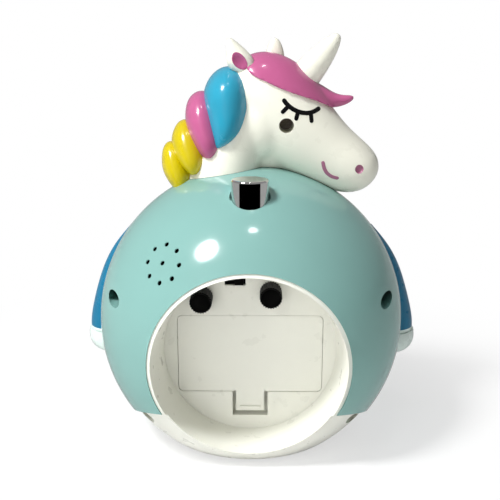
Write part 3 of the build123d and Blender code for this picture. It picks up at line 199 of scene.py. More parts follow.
def blendTones(tree, shader, fac, base, tone):
    tones = tree.nodes.new("ShaderNodeValToRGB")
    stops = zip(tones.color_ramp.elements, toneBand, (1 - tone, 1 + tone))
    for stop, position, factor in stops:
        stop.position = position
        stop.color = shade(base, factor)
    tree.links.new(fac, tones.inputs["Fac"])
    tree.links.new(tones.outputs["Color"], shader.inputs["Base Color"])


def spreadRoughness(tree, shader, fac, low, high):
    spread = tree.nodes.new("ShaderNodeMapRange")
    for name, amount in zip(("From Min", "From Max", "To Min", "To Max"), (*roughBand, low, high)):
        spread.inputs[name].default_value = amount
    tree.links.new(fac, spread.inputs["Value"])
    tree.links.new(spread.outputs["Result"], shader.inputs["Roughness"])


def addRelief(tree, shader, fac, strength, depth, under=None):
    relief = tree.nodes.new("ShaderNodeBump")
    relief.inputs["Strength"].default_value = strength
    relief.inputs["Distance"].default_value = depth * mm
    tree.links.new(fac, relief.inputs["Height"])
    if under:
        tree.links.new(under, relief.inputs["Normal"])
    tree.links.new(relief.outputs["Normal"], shader.inputs["Normal"])
    return relief.outputs["Normal"]


# scale and detail of each speckle, the spread of the roughness, and the depth of each relief
moulded = {
    "patches": (38, 4), "sheen": (160, 5), "waves": (70, 1), "grainDetail": 2,
    "spread": (0.8, 1.25), "waveDepth": 0.5, "grainDepth": 0.1,
}
streaked = {"detail": 4, "spread": (0.7, 1.5), "strength": 0.1, "depth": 0.05}


def plastic(name, base, rough, tone=0.02, waves=0.04, grain=0.03, grainSize=1500, **settings):
    finish, tree, shader = newFinish(name, base, rough, **settings)
    blendTones(tree, shader, speckle(tree, *moulded["patches"]), base, tone)
    low, high = moulded["spread"]
    spreadRoughness(tree, shader, speckle(tree, *moulded["sheen"]), rough * low, rough * high)
    slow = addRelief(tree, shader, speckle(tree, *moulded["waves"]), waves, moulded["waveDepth"])
    fine = speckle(tree, grainSize, moulded["grainDetail"])
    addRelief(tree, shader, fine, grain, moulded["grainDepth"], slow)
    return finish


def metal(name, base, rough, tone=0.08, stretch=(1, 1, 1), scale=400, **settings):
    finish, tree, shader = newFinish(name, base, rough, Metallic=1, **settings)
    streaks = speckle(tree, scale, streaked["detail"], stretch)
    blendTones(tree, shader, streaks, base, tone)
    low, high = streaked["spread"]
    spreadRoughness(tree, shader, streaks, rough * low, rough * high)
    addRelief(tree, shader, streaks, streaked["strength"], streaked["depth"])
    return finish


lens = {"rough": 0.04, "refraction": 1.49, "waves": (90, 1), "strength": 0.04, "depth": 0.2}


def clearPlastic(name, base):
    finish, tree, shader = newFinish(
        name, base, lens["rough"], Transmission_Weight=1, IOR=lens["refraction"]
    )
    addRelief(tree, shader, speckle(tree, *lens["waves"]), lens["strength"], lens["depth"])
    return finish


soundHoles = {  # painted shade: near black within reach of the ring's middle, and deeper than the skin of the ball
    "middle": (32.6, 44.1, 84.9), "reach": 13.0, "skin": 64.6, "dark": (0.004, 0.006, 0.005, 1),
}
hooves = {"line": 41.2, "paint": paint(222, 236, 230)}  # the blue of the forelegs ends at the line


def below(tree, value, limit):
    test = tree.nodes.new("ShaderNodeMath")
    test.operation = "LESS_THAN"
    test.inputs[1].default_value = limit * mm
    tree.links.new(value, test.inputs[0])
    return test.outputs[0]


def within(tree, middle, limit):
    place = tree.nodes.new("ShaderNodeTexCoord")
    away = tree.nodes.new("ShaderNodeVectorMath")
    away.operation = "DISTANCE"
    away.inputs[1].default_value = [value * mm for value in middle]
    tree.links.new(place.outputs["Object"], away.inputs[0])
    return below(tree, away.outputs["Value"], limit)


def repaint(finish, mask, paintedOver):
    tree = finish.node_tree
    base = tree.nodes["Principled BSDF"].inputs["Base Color"]
    over = tree.nodes.new("ShaderNodeMixRGB")
    over.inputs["Color2"].default_value = paintedOver
    tree.links.new(mask, over.inputs["Fac"])
    tree.links.new(base.links[0].from_socket, over.inputs["Color1"])
    tree.links.new(over.outputs["Color"], base)


def darkHoles(finish):  # painted shade: the walls of the small holes of the sounder are painted near black, as they are unlit inside
    tree = finish.node_tree
    both = tree.nodes.new("ShaderNodeMath")
    both.operation = "MULTIPLY"
    tree.links.new(within(tree, (0, 0, ball["middle"]), soundHoles["skin"]), both.inputs[0])
    tree.links.new(within(tree, soundHoles["middle"], soundHoles["reach"]), both.inputs[1])
    repaint(finish, both.outputs[0], soundHoles["dark"])


def whiteHooves(finish):  # the paint of the hooves reaches up the end of the foreleg
    tree = finish.node_tree
    place = tree.nodes.new("ShaderNodeTexCoord")
    axes = tree.nodes.new("ShaderNodeSeparateXYZ")
    tree.links.new(place.outputs["Object"], axes.inputs[0])
    repaint(finish, below(tree, axes.outputs["Z"], hooves["line"]), hooves["paint"])


coat = {"Coat_Weight": 0.3, "Coat_Roughness": 0.04}
dull = {"Specular_IOR_Level": 0.2}
# a plastic has a roughness, then its tone, waves, grain and the grain's size
# a metal has a roughness, then its tone, stretch and scale
finishes = {
    "aqua_gloss": plastic("aquaPaint", paint(130, 174, 168), 0.12, 0.012, 0.03, 0.02),
    "white_case": plastic("whiteCase", paint(238, 238, 228), 0.32, 0.02, 0.05, 0.05),
    "grey_foam": plastic("greyFoam", paint(95, 96, 98), 0.9, 0.12, 0.3, 0.6, 2500),
    "white_gloss": plastic("whiteGloss", paint(238, 238, 230), 0.22, 0.015),
    "dial_card": plastic("dialCard", paint(246, 243, 232), 0.6, 0.012, 0.02, 0.1, 3000),
    "frosted_ring": plastic(
        "frostedRing", paint(236, 240, 238), 0.45, 0.02, 0.1, 0.2, 2500, Transmission_Weight=0.35
    ),
    "led_clear": plastic(
        "ledClear", paint(240, 240, 225), 0.12, 0.02, 0.05, 0.05, Transmission_Weight=0.8
    ),
    "clear_lens": clearPlastic("clearLens", paint(250, 252, 252)),
    "black_case": plastic("blackCase", paint(9, 9, 9), 0.5, 0.12, 0.1, 0.2, 2200, **dull),
    "black_plastic": plastic("blackPlastic", paint(5, 5, 5), 0.5, 0.12, 0.1, 0.15, 2200, **dull),
    "head_white": plastic("headPaint", paint(240, 239, 224), 0.3, 0.015, 0.1, **coat),
    "pink_gloss": plastic("pinkPaint", paint(186, 92, 138), 0.22, 0.03, **coat),
    "blue_gloss": plastic("bluePaint", paint(42, 152, 182), 0.22, 0.03, **coat),
    "yellow_gloss": plastic("yellowPaint", paint(200, 181, 5), 0.22, 0.03, **coat),
    "leg_blue": plastic("legPaint", paint(18, 112, 148), 0.3, 0.03, Specular_IOR_Level=0.35),
    "hoof_white": plastic("hoofPaint", hooves["paint"], 0.28, 0.015, **coat),
    "gear_white": plastic("gearNylon", paint(232, 230, 220), 0.5, 0.03, 0.05, 0.2, 3000),
    "hand_black": plastic("handBlack", paint(20, 20, 22), 0.5, 0.1, 0.05, 0.2, 3000),
    "hand_pink": plastic("handPink", paint(210, 80, 140), 0.45, 0.05, 0.05, 0.2, 3000),
    "hand_aqua": plastic("handAqua", paint(70, 165, 160), 0.45, 0.05, 0.05, 0.2, 3000),
    "board_green": plastic("boardGreen", paint(40, 96, 62), 0.4, 0.15, 0.1, 0.2, 1800),
    "cell_wrap": plastic("cellWrap", paint(60, 66, 74), 0.35, 0.05, 0.05, 0.1, 2000),
    "plain_steel": metal("plainSteel", paint(176, 178, 180), 0.3, 0.08, (1, 1, 12)),
    "screw_steel": metal("screwSteel", paint(120, 112, 104), 0.38, 0.15),
    "copper_wire": metal("copperWire", paint(196, 116, 70), 0.32, 0.12, (12, 1, 1), 900),
    "chrome_plate": metal("chromePlate", paint(218, 218, 216), 0.05, 0.02),
}
# the sounder's holes get painted shade inside
darkHoles(finishes["aqua_gloss"])
whiteHooves(finishes["leg_blue"])
lashPaint = plastic("lashPaint", paint(4, 4, 5), 0.4, 0.1, 0.1, 0.1, Specular_IOR_Level=0.25)
smilePaint = plastic("smilePaint", paint(166, 104, 132), 0.35, 0.05, 0.1, 0.1)

dressing = {
    "aqua_gloss": "front_shell rear_shell",
    "white_case": "rear_housing battery_door chassis",
    "grey_foam": "base_pad",
    "white_gloss": "bezel",
    "clear_lens": "lens",
    "dial_card": "dial",
    "frosted_ring": "light_ring",
    "led_clear": "light_leds",
    "black_case": "movement_tray movement_plate slide_switch sounder snooze_switch",
    "black_plastic": "slide_knob time_arbor time_knob alarm_arbor alarm_knob",
    "plain_steel": "stator battery_plates battery_springs snooze_spring",
    "screw_steel": "case_screws inner_screws small_screws",
    "copper_wire": "coil",
    "cell_wrap": "battery_cells",
    "board_green": "main_board snooze_board",
    "head_white": "head_front head_rear horn rear_ear front_ear",
    "pink_gloss": "forelock mane_pink",
    "blue_gloss": "mane_blue",
    "yellow_gloss": "mane_yellow_high mane_yellow_low",
    "leg_blue": "foreleg_right foreleg_left",
    "hoof_white": "hoof_right hoof_left",
    "chrome_plate": "snooze_button",
    "hand_black": "minute_hand hour_hand",
    "hand_pink": "second_hand",
    "hand_aqua": "alarm_hand",
}


def dress(node, finish):
    node.data.materials.clear()
    node.data.materials.append(finish)


for node in nodes.values():
    dress(node, finishes["gear_white"])
for slotName, names in dressing.items():
    for name in names.split():
        dress(nodes[name], finishes[slotName])
print("CAD nodes dressed:", len(nodes))


# head: a neck and a face chain, grown into one skin
head = {
    "faceStart": (5.0, 95.0), "slope": 37.5, "voxel": 0.85, "softening": 26, "seat": 0.12,
    "face": (  # along the face: distance, lift, half height, half thickness
        (-15.6, -1.6, 5, 5.5), (-13, -1.4, 11.2, 10.5), (-6, -0.9, 16.2, 14.4),
        (5, -1.3, 18.8, 15.9), (16, -2.9, 19, 16), (27, -3.9, 16.9, 14.6), (37, -3.7, 14.1, 13.2),
        (47, -2.7, 12.9, 12.9), (54, -1.6, 10.7, 11.4), (58, -0.9, 7.1, 7.8), (59.8, -0.6, 3, 3.4),
    ),
    "neck": (  # up the neck: above, middle towards the nose, half length, half thickness
        (44, -12.5, 18.2, 20.5), (56, -12, 17, 19.4), (68, -9.4, 15.6, 17.6), (80, -5, 14.4, 16.2),
        (94, 1, 12, 14),
    ),
    "cheek": (  # fills the hollow behind the jaw
        (67, 2.5, 7, 8), (70, 3, 11.5, 11.5), (76, 4, 14.5, 15.2), (83, 4.5, 15.5, 16),
        (91, 3.5, 13, 15), (96, 3, 8, 11),
    ),
    "throat": (5.5, 68, 12, 7.2, 8.5),  # towards, above, half length, height and thickness
    "well": {"at": (14.4, 82.6), "radius": 3.0, "floor": 2.0, "mouth": 40},
    "nostril": {
        "at": (44.7, 64.5), "radius": 2.1, "sunk": 0.8, "paint": 0.12, "from": 80,
        "segments": 32, "rings": 16,
    },
}


def facePoint(distance, lift):
    lean = math.radians(head["slope"])
    towards = head["faceStart"][0] + distance * math.cos(lean) + lift * math.sin(lean)
    return spot(towards, head["faceStart"][1] - distance * math.sin(lean) + lift * math.cos(lean))


def faceChain(grown=0.0):
    tilt = -90 - head["slope"]
    stations = []
    for distance, lift, tall, thick in head["face"]:
        stations.append((facePoint(distance, lift), tall + grown, thick + grown, tilt))
    return chain(stations)


def upright(sections):
    return chain(
        [(spot(towards, above), long, thick, 0) for above, towards, long, thick in sections]
    )


def sphereTool(place, radius, segments=48, rings=24):
    clearSelection()
    bpy.ops.mesh.primitive_uv_sphere_add(
        segments=segments, ring_count=rings, radius=radius, location=place
    )
    tool = bpy.context.object
    keepPlace(tool)
    return tool


def eggTool(towards, above, side, tall, wide, deep, lean=0.0, grown=0.0):
    tool = sphereTool((0, 0, 0), 1)
    tool.location = spot(towards, above, side)
    tool.scale = ((wide + grown) * mm, (deep + grown) * mm, (tall + grown) * mm)
    tool.rotation_euler = (0, math.radians(lean), 0)
    keepPlace(tool)
    return tool


def ballTool(growth):
    radius = (ball["radius"] + growth) * mm
    return sphereTool((0, 0, ball["middle"] * mm), radius, ball["segments"], ball["rings"])


def rodTool(middle, radius, start, end, sides=48):  # a rod along Y
    clearSelection()
    bpy.ops.mesh.primitive_cylinder_add(
        vertices=sides, radius=radius * mm, depth=(end - start) * mm,
        location=(middle.x, (start + end) / 2 * mm, middle.z), rotation=(math.radians(90), 0, 0),
    )
    tool = bpy.context.object
    keepPlace(tool)
    return tool


def grow(pieces, voxel, softening):  # several closed forms become one smooth skin
    skin = joined(pieces)
    applyModifier(skin, "REMESH", mode="VOXEL", voxel_size=voxel * mm, use_smooth_shade=True)
    applyModifier(skin, "SMOOTH", factor=0.5, iterations=softening)
    return skin


def rounded(piece, levels=2):
    applyModifier(piece, "SUBSURF", levels=levels, render_levels=levels)
    return piece


throatAt, throatUp, throatLong, throatTall, throatThick = head["throat"]
headForms = [rounded(faceChain()), rounded(upright(head["neck"])), rounded(upright(head["cheek"]))]
headForms.append(eggTool(throatAt, throatUp, 0, throatTall, throatLong, throatThick))
headSkin = grow(headForms, head["voxel"], head["softening"])
headCopy = copyPiece(headSkin, "headCopy")  # before it is cut: paint and ears are fitted to this
cut(headSkin, ballTool(head["seat"]))
well = head["well"]
wellFloor = ball["headPlane"] + well["floor"]
cut(headSkin, rodTool(spot(*well["at"]), well["radius"], wellFloor, well["mouth"]))


def nostrilPaint(side, name):  # a dent in the skin, lined with a thin shell of paint
    nostril = head["nostril"]
    start = spot(*nostril["at"]) + Vector((0, side * nostril["from"] * mm, 0))
    nostrilAt, normal = headCopy.ray_cast(start, Vector((0, -side, 0)))[1:3]
    middle = nostrilAt + normal * nostril["sunk"] * mm
    dent = sphereTool(middle, nostril["radius"] * mm, nostril["segments"], nostril["rings"])
    lining = copyPiece(dent, "lining")
    cut(headSkin, dent)
    cut(lining, headCopy, "INTERSECT", keepTool=True)
    inner = copyPiece(lining, "inner")
    inner.location = normal * nostril["paint"] * mm
    keepPlace(inner)
    cut(lining, inner)
    closeMesh(lining)
    smoothShade(lining)
    seat(lining, name, smilePaint)


nostrilPaint(1, "nostrilRear")
nostrilPaint(-1, "nostrilFront")
closeMesh(headSkin)
smoothShade(headSkin)
headFinish = finishes["head_white"]
seat(headSkin, "head", headFinish, stands=("head_front", "head_rear"))
print("head grown", len(headSkin.data.polygons))


# forelock: a thicker copy of the face form, trimmed to its outline, with a flick over the brow
forelock = {
    "thickness": 1.2, "voxel": 0.6, "softening": 7, "flickWidth": 1.3, "sides": 24,
    "curveSteps": 6, "trim": (-40, 30),  # the reach of the outline along Y
    "outline": (  # towards, above
        (-1.6, 104.6), (0.4, 102.5), (6.1, 99.8), (12, 97.1), (19, 94.6), (26.2, 92.2), (31, 90.2),
        (34.2, 88.9), (37.0, 89.4), (46, 98), (32, 124), (4, 126), (-3.5, 112),
    ),
    "flick": (  # towards, above, radius, climb of the flick there in degrees
        (22, 95.6, 5.6, -24), (28, 93.6, 4.7, -22), (33, 91.8, 3.5, -14), (36.5, 91.5, 2.7, 0),
        (39.5, 91.9, 2.0, 12), (41.6, 92.6, 1.4, 18), (42.9, 93.1, 0.7, 20),
    ),
}


def outlineTool(outline, start, end, steps):  # a prism along Y through a smooth closed outline
    clearSelection()
    flat = bpy.data.curves.new("outline", "CURVE")
    flat.dimensions = "2D"
    flat.fill_mode = "BOTH"
    flat.resolution_u = steps
    flat.extrude = (end - start) / 2 * mm
    line = flat.splines.new("BEZIER")
    line.bezier_points.add(len(outline) - 1)
    line.use_cyclic_u = True
    for knot, (towards, above) in zip(line.bezier_points, outline):
        knot.co = (-towards * mm, (ball["middle"] + above) * mm, 0)
        knot.handle_left_type = knot.handle_right_type = "AUTO"
    tool = bpy.data.objects.new("outline", flat)
    bpy.context.scene.collection.objects.link(tool)
    activate(tool)
    bpy.ops.object.convert(target="MESH")
    tool = bpy.context.object
    tool.rotation_euler = (math.radians(90), 0, 0)
    tool.location = (0, (start + end) / 2 * mm, 0)
    keepPlace(tool)
    closeMesh(tool)
    return tool


cap = rounded(faceChain(forelock["thickness"]))
cut(cap, outlineTool(forelock["outline"], *forelock["trim"], forelock["curveSteps"]), "INTERSECT")
flickStations = [
    (spot(towards, above), radius, radius * forelock["flickWidth"], climb - 90)
    for towards, above, radius, climb in forelock["flick"]
]
flick = rounded(chain(flickStations, forelock["sides"]))
capSkin = grow([cap, flick], forelock["voxel"], forelock["softening"])
cut(capSkin, headCopy, keepTool=True)
closeMesh(capSkin)
smoothShade(capSkin)
seat(capSkin, "forelock", finishes["pink_gloss"], stands=("forelock",))
print("forelock laid")


# horn
horn = {
    "base": (22.8, 102.1), "slope": 50.7,  # towards and above, degrees
    "profile": (  # up the horn, radius
        (-7, 6.9), (-1, 6.4), (4, 6.05), (7.6, 5.55), (12, 4.75), (15, 3.95), (17.2, 3.15),
        (19, 2.35), (20.2, 1.55), (20.8, 0.7),
    ),
}


def hornSpot(along):
    lean = math.radians(horn["slope"])
    return spot(horn["base"][0] + along * math.cos(lean), horn["base"][1] + along * math.sin(lean))


hornStations = [
    (hornSpot(along), radius, radius, horn["slope"] - 90) for along, radius in horn["profile"]
]
hornPiece = rounded(chain(hornStations))
cut(hornPiece, headCopy, keepTool=True)
closeMesh(hornPiece)
smoothShade(hornPiece)
seat(hornPiece, "horn", headFinish, stands=("horn",))


# ears: each is a leaf with a dished, lined inside
ears = {
    "rear": {
        "side": 9.0, "replaces": "rear_ear",
        "leaf": (  # towards, above, half length, half thickness, how far out
            (1.6, 99, 3.0, 2.4, -4), (0.2, 102.0, 4.4, 2.8, -3.4), (-2.6, 104.4, 6.0, 3.1, -1.8),
            (-4.1, 106.6, 5.7, 3.2, -0.5), (-4.4, 109, 5.4, 3.2, 0), (-5.7, 111.8, 4.2, 2.9, 0),
            (-7.2, 114.3, 2.85, 2.3, 0), (-8.3, 115.9, 1.75, 1.6, 0), (-8.7, 116.8, 0.8, 0.8, 0),
        ),
        "dish": (-3.9, 105.9, 6.6, 3.5, 3.2, 30),  # towards, above, half sizes, lean
    },
    "front": {
        "side": -9.0, "replaces": "front_ear",
        "leaf": (
            (8.6, 99, 4.6, 2.8, 0), (9.2, 104, 4.8, 3.1, 0), (9.7, 108.5, 4.4, 3.1, 0),
            (9.9, 111.5, 3.8, 2.9, 0), (9.8, 114.4, 2.9, 2.4, 0), (9.8, 116.2, 1.8, 1.6, 0),
            (9.7, 117.0, 0.8, 0.8, 0),
        ),
        "dish": (9.0, 108.2, 4.8, 3.0, 2.4, 4),
    },
}
earDish = {"beyond": 1.1, "grown": 0.05, "lining": 0.3}
for earName, ear in ears.items():
    outer = math.copysign(1, ear["side"])
    leafStations = [
        (spot(towards, above, ear["side"] + outer * out), long, thick, 0)
        for towards, above, long, thick, out in ear["leaf"]
    ]
    leaf = rounded(chain(leafStations))
    towards, above, tall, wide, deep, lean = ear["dish"]
    reach = ear["side"] + outer * (deep + earDish["beyond"])
    dished = reach, tall, wide, deep, lean
    lining = copyPiece(leaf, "lining")
    cut(leaf, eggTool(towards, above, *dished))
    cut(lining, eggTool(towards, above, *dished, earDish["grown"]), "INTERSECT")
    cut(lining, eggTool(towards, above, reach + outer * earDish["lining"], *dished[1:]))
    cut(leaf, headCopy, keepTool=True)
    cut(lining, headCopy, keepTool=True)
    for piece in (leaf, lining):
        closeMesh(piece)
        smoothShade(piece)
    seat(leaf, earName + "Ear", headFinish, stands=(ear["replaces"],))
    seat(lining, earName + "EarLining", finishes["pink_gloss"])
print("horn and ears set")


# mane: four locks, each a full roll over the neck that the one above laps
locks = {
    "maneBlue": {
        "node": "mane_blue", "slot": "blue_gloss",
        "rolls": (  # above, middle towards the nose, half length, half thickness
            (105.6, -9, 1.6, 2.8), (104.5, -8.9, 4.9, 8.6), (101.8, -9.1, 7.8, 14.2),
            (98, -9.4, 9.7, 18), (94, -9.5, 10.6, 19.4), (90, -9.5, 10.9, 19.9),
            (86, -9.4, 10.6, 20.2), (82, -9.7, 9.7, 20.2), (79, -10.2, 8.6, 19.8),
            (76.6, -11.0, 7.1, 19), (74.8, -12.0, 5.3, 17.8), (73.7, -13.0, 3.2, 16.4),
            (73.2, -13.4, 1.3, 15.2),
        ),
    },
    "manePink": {
        "node": "mane_pink", "slot": "pink_gloss",
        "rolls": (
            (95.6, -20.6, 1.4, 2.8), (94.4, -20.7, 3.7, 6.6), (92.2, -20.6, 5.8, 10.6),
            (88.4, -20.2, 7.4, 14.2), (84, -19.7, 8.1, 16.4), (80, -18.8, 8.3, 17.6),
            (76.5, -17.8, 8.1, 18.2), (73.3, -17.1, 7.3, 18), (71.0, -16.9, 6.0, 17),
            (69.5, -17.2, 4.2, 15.8), (68.8, -17.6, 1.8, 14.4),
        ),
    },
    "maneYellowHigh": {
        "node": "mane_yellow_high", "slot": "yellow_gloss",
        "rolls": (
            (83.8, -27.6, 1.2, 2.6), (82.6, -27.6, 3.4, 6), (80, -27.2, 5.4, 9.4),
            (76.5, -26.4, 7.4, 12.4), (72.5, -25.5, 8.2, 14.4), (69, -24.6, 8.0, 15.6),
            (66.0, -23.9, 7.0, 15.8), (63.8, -23.6, 5.4, 15), (62.4, -23.7, 3.4, 13.8),
            (61.8, -23.9, 1.4, 12.8),
        ),
    },
    "maneYellowLow": {
        "node": "mane_yellow_low", "slot": "yellow_gloss",
        "rolls": (
            (74.6, -33.8, 1.2, 2.4), (73.4, -33.7, 3.0, 5.4), (70.8, -33, 4.8, 8.2),
            (67, -32.0, 6.2, 10.6), (63, -31.1, 6.8, 12), (60, -30.3, 6.3, 12.4),
            (57.2, -29.6, 5.2, 12.2), (55, -29.1, 3.8, 11.4), (53.2, -28.9, 2.4, 10.2),
            (52.0, -28.9, 1.1, 9),
        ),
    },
}
for lockName, lock in locks.items():
    roll = rounded(upright(lock["rolls"]))
    seat(roll, lockName, finishes[lock["slot"]], stands=(lock["node"],))
    smoothShade(roll, rollEdge)
print("mane laid")


# painted face, the same on both sides: strokes of raised paint that follow the skin
face = {
    "lidWidth": 0.95,
    "lid": ((13.4, 92.5), (14.2, 91.3), (16.8, 89.0), (20.6, 87.5), (24.4, 87.4), (27.3, 89.0)),
    "lashWidth": 0.9,
    "lashes": (
        ((14.9, 90.2), (12.9, 88.2)), ((18.9, 87.9), (18.3, 85.5)), ((24.2, 87.3), (24.5, 84.5)),
    ),
    "smileWidth": 0.8,
    "smile": ((29.6, 67.3), (30.1, 64.8), (31.4, 62.7), (33.5, 61.2), (35.6, 60.8)),
    "lift": 0.06, "flatten": 0.25, "from": 100, "sides": 12, "levels": 1,
    "roundEnd": ((1.0, 0.25), (0.8, 0.66), (0.4, 0.93)),  # past the end and radius, in widths
}


def brush(line, width):  # a round stroke with round ends
    stations = []
    for index, (towards, above) in enumerate(line):
        before, after = line[max(0, index - 1)], line[min(len(line) - 1, index + 1)]
        run, rise = after[0] - before[0], after[1] - before[1]
        size = math.hypot(run, rise)
        stations.append((towards, above, run / size, rise / size, width))

    def endRings(station, way):
        towards, above, run, rise, _ = station
        rings = []
        for past, radius in face["roundEnd"]:
            out = way * width * past
            rings.append((towards + run * out, above + rise * out, run, rise, width * radius))
        return rings

    path = endRings(stations[0], -1) + stations + endRings(stations[-1], 1)[::-1]
    rings = [
        (spot(towards, above), radius, radius, math.degrees(math.atan2(-run, rise)))
        for towards, above, run, rise, radius in path
    ]
    return rounded(chain(rings, face["sides"]), face["levels"])


# each point of the piece goes to the skin beside it, and keeps a little of its height
def layOnSkin(piece, skin, side):
    for vertex in piece.data.vertices:
        height = (vertex.co.y / mm - ball["headPlane"]) * face["flatten"] + face["lift"]
        start = Vector((vertex.co.x, side * face["from"] * mm, vertex.co.z))
        hit, place = skin.ray_cast(start, Vector((0, -side, 0)))[:2]
        if hit:
            vertex.co = place + Vector((0, side * height * mm, 0))
    closeMesh(piece)


def paintStroke(line, width, side):
    stroke = brush(line, width)
    layOnSkin(stroke, headCopy, side)
    return stroke


for side, sideName in ((1, "Rear"), (-1, "Front")):
    lid = paintStroke(face["lid"], face["lidWidth"], side)
    lashes = [paintStroke(line, face["lashWidth"], side) for line in face["lashes"]]
    eyeStrokes = joined([lid] + lashes)
    smoothShade(eyeStrokes, rollEdge)
    seat(eyeStrokes, "eyelid" + sideName, lashPaint)
    smileStroke = paintStroke(face["smile"], face["smileWidth"], side)
    smoothShade(smileStroke, rollEdge)
    seat(smileStroke, "smile" + sideName, smilePaint)
print("face painted")


# forelegs: an egg rounds off their upper ends where they leave the ball
foreleg = {"middle": 45.0, "behind": -5.0, "tall": 38.5, "wide": 40.0, "deep": 14.0}
forelegSizes = [foreleg[size] for size in ("behind", "tall", "wide", "deep")]
for side, node, name in ((1, "foreleg_right", "forelegRight"), (-1, "foreleg_left", "forelegLeft")):
    limb = copyPiece(nodes[node], name)
    closeMesh(limb)
    cut(limb, eggTool(-side * foreleg["middle"], 0, *forelegSizes), "INTERSECT")
    closeMesh(limb)
    smoothShade(limb)
    seat(limb, name, finishes["leg_blue"], stands=(node,))
print("forelegs rounded off")


# dial: twelve numbers and sixty strokes printed on the card
dial = {
    "face": -31.01, "print": 0.12, "numberRing": 29.5, "numberSize": 8.2,
    "strokeRing": 36.2, "hourStroke": (1.1, 3.0), "minuteStroke": (0.4, 1.5), "curveSteps": 6,
}


def minuteTurn(minute):
    return math.radians(360 / 60 * minute)


def aroundDial(ring, minute):  # clockwise from the top, as seen from the front
    turn = minuteTurn(minute)
    middle = dial["face"] - dial["print"] / 2
    above = ball["middle"] + ring * math.cos(turn)
    return Vector((ring * math.sin(turn) * mm, middle * mm, above * mm))


def numberPrint(hour):
    clearSelection()
    place = aroundDial(dial["numberRing"], 60 / 12 * hour)
    bpy.ops.object.text_add(location=place, rotation=(math.radians(90), 0, 0))
    text = bpy.context.object
    text.data.body = str(hour)
    text.data.size = dial["numberSize"] * mm
    text.data.extrude = dial["print"] / 2 * mm
    text.data.resolution_u = dial["curveSteps"]
    text.data.align_x = "CENTER"
    text.data.align_y = "CENTER"
    bpy.ops.object.convert(target="MESH")
    printed = bpy.context.object
    keepPlace(printed)
    return printed


def strokePrint(minute):
    wide, tall = dial["minuteStroke"] if minute % 5 else dial["hourStroke"]
    clearSelection()
    bpy.ops.mesh.primitive_cube_add(
        size=1, location=aroundDial(dial["strokeRing"], minute), rotation=(0, minuteTurn(minute), 0)
    )
    stroke = bpy.context.object
    stroke.scale = (wide * mm, dial["print"] * mm, tall * mm)
    keepPlace(stroke)
    return stroke


for printName, marks in (
    ("dialNumbers", [numberPrint(hour) for hour in range(1, 13)]),
    ("dialStrokes", [strokePrint(minute) for minute in range(60)]),
):
    marked = joined(marks)
    closeMesh(marked)
    seat(marked, printName, finishes["hand_black"])
print("dial printed")


# floor, light and camera, in metres
camera = {
    "distance": 0.325, "height": 0.16375, "turn": 0.8, "pitch": 14.7,
    "lens": 56.09, "sensor": 36, "shift": (-0.002, 0),
}
lamps = {
    "keyLamp": {"place": (0.665, 0.451, 1.197), "size": (0.3, 0.36), "power": 20.0, "mirror": True},
    "softLamp": {"place": (0.85, 1.1, 0.95), "size": (0.8, 0.8), "power": 5.0, "mirror": False},
    "fillLamp": {"place": (0.4, 1.35, 0.15), "size": (0.8, 0.8), "power": 5.0, "mirror": False},
    "frontLamp": {"place": (-0.5, -1.2, 0.9), "size": (0.8, 0.8), "power": 5.0, "mirror": False},
    "topLamp": {"place": (-0.03, 0.235, 1.33), "size": (0.12, 0.06), "power": 0.9, "mirror": True},
}
worldLevel = 0.1
floorLook = {
    "size": 8, "paint": paint(244, 244, 244), "rough": 0.9,
    "white": 0.6, "shadowReach": (0.06, 0.22),  # the share of plain white grows over this reach
}
mirrorLook = {  # brightness of the room and the floor in mirrors; the start, slope and edge of the floor's painted dark reflection
    "world": 0.3, "sides": 0.45, "from": 0.04, "spread": 2.5, "edge": 0.02,
}
target = Vector((0, 0, 0.07))  # the lamps point at it


def addLamp(name, settings):
    bpy.ops.object.light_add(type="AREA", location=settings["place"])
    lamp = bpy.context.object
    lamp.name = name
    lamp.data.shape = "ELLIPSE"
    lamp.data.size, lamp.data.size_y = settings["size"]
    lamp.data.energy = settings["power"]
    lamp.visible_glossy = settings["mirror"]  # whether glossy pieces show the lamp
    lamp.rotation_euler = (target - lamp.location).to_track_quat("-Z", "Y").to_euler()


def ramp(tree, value, low, high, start=0.0, end=1.0):
    fade = tree.nodes.new("ShaderNodeMapRange")
    fade.interpolation_type = "SMOOTHSTEP"
    for name, amount in (("From Min", low), ("From Max", high), ("To Min", start), ("To Max", end)):
        fade.inputs[name].default_value = amount
    tree.links.new(value, fade.inputs["Value"])
    return fade.outputs["Result"]


def combine(tree, operation, first, second):
    maths = tree.nodes.new("ShaderNodeMath")
    maths.operation = operation
    for socket, value in zip(maths.inputs, (first, second)):
        if isinstance(value, float):
            socket.default_value = value
        else:
            tree.links.new(value, socket)
    return maths.outputs[0]


def glow(tree, output, strength):
    kind = "ShaderNodeBackground" if output.type == "OUTPUT_WORLD" else "ShaderNodeEmission"
    light = tree.nodes.new(kind)
    light.inputs["Color"].default_value = (1, 1, 1, 1)
    if isinstance(strength, float):
        light.inputs["Strength"].default_value = strength
    else:
        tree.links.new(strength, light.inputs["Strength"])
    return light.outputs[0]


def mixLooks(tree, fac, first, second):
    mix = tree.nodes.new("ShaderNodeMixShader")
    tree.links.new(fac, mix.inputs["Fac"])
    tree.links.new(first, mix.inputs[1])
    tree.links.new(second, mix.inputs[2])
    return mix.outputs[0]


def floorFade(tree):  # the lit floor shows near the clock only, and plain white beyond
    place = tree.nodes.new("ShaderNodeTexCoord")
    length = tree.nodes.new("ShaderNodeVectorMath")
    length.operation = "LENGTH"
    tree.links.new(place.outputs["Object"], length.inputs[0])
    return ramp(tree, length.outputs["Value"], *floorLook["shadowReach"], floorLook["white"])


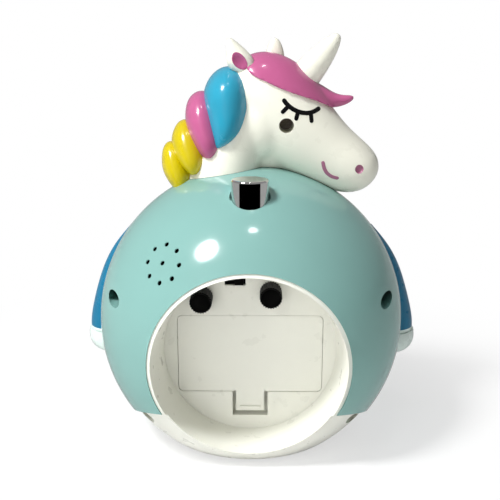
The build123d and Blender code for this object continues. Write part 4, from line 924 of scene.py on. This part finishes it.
def darkSide(tree):  # painted dark reflection: in mirrors only, the floor is painted black towards the rear, standing in for a dark cloth
    place = tree.nodes.new("ShaderNodeTexCoord")
    split = tree.nodes.new("ShaderNodeSeparateXYZ")
    tree.links.new(place.outputs["Object"], split.inputs["Vector"])
    across = combine(tree, "ABSOLUTE", split.outputs["X"], 0.0)
    past = combine(tree, "SUBTRACT", split.outputs["Y"], mirrorLook["from"])
    behind = combine(tree, "MULTIPLY", past, mirrorLook["spread"])
    edge = combine(tree, "SUBTRACT", across, behind)
    return ramp(tree, edge, -mirrorLook["edge"], mirrorLook["edge"], 0.0, mirrorLook["sides"])


# the eye sees plain white, mirrors see what is given, and all else sees what is lit
def eyeLook(tree, output, lit, mirrored, amount=None):
    path = tree.nodes.new("ShaderNodeLightPath")
    straight, through = path.outputs["Is Camera Ray"], path.outputs["Is Transmission Ray"]
    seen = combine(tree, "MAXIMUM", straight, through)
    if amount:
        seen = combine(tree, "MULTIPLY", seen, amount)
    look = mixLooks(tree, path.outputs["Is Glossy Ray"], lit, glow(tree, output, mirrored))
    look = mixLooks(tree, seen, look, glow(tree, output, 1.0))
    tree.links.new(look, output.inputs["Surface"])


world = bpy.data.worlds.new("studio")
bpy.context.scene.world = world
world.use_nodes = True
background = world.node_tree.nodes["Background"]
background.inputs["Color"].default_value = (1, 1, 1, 1)
background.inputs["Strength"].default_value = worldLevel
worldOutput = world.node_tree.nodes["World Output"]
eyeLook(world.node_tree, worldOutput, background.outputs[0], mirrorLook["world"])

clearSelection()
bpy.ops.mesh.primitive_plane_add(size=floorLook["size"], location=(0, 0, 0))
floor = bpy.context.object
floor.name = "floor"
floorFinish, floorTree, floorShader = newFinish(
    "floorPaint", floorLook["paint"], floorLook["rough"]
)
floorOutput = floorTree.nodes["Material Output"]
floorShare = floorFade(floorTree)
# mirrors see the floor's painted dark reflection towards the rear
eyeLook(floorTree, floorOutput, floorShader.outputs[0], darkSide(floorTree), floorShare)
dress(floor, floorFinish)

for lampName, settings in lamps.items():
    addLamp(lampName, settings)

turn = math.radians(camera["turn"])
behind = Vector((-math.sin(turn), math.cos(turn), 0))
bpy.ops.object.camera_add(location=behind * camera["distance"] + Vector((0, 0, camera["height"])))
eye = bpy.context.object
eye.rotation_euler = (math.radians(90 - camera["pitch"]), 0, math.pi + turn)
eye.data.lens = camera["lens"]
eye.data.sensor_width = camera["sensor"]
eye.data.shift_x, eye.data.shift_y = camera["shift"]
bpy.context.scene.camera = eye
bpy.context.scene.view_settings.view_transform = "Standard"

drop(headCopy)
print("scene ready")
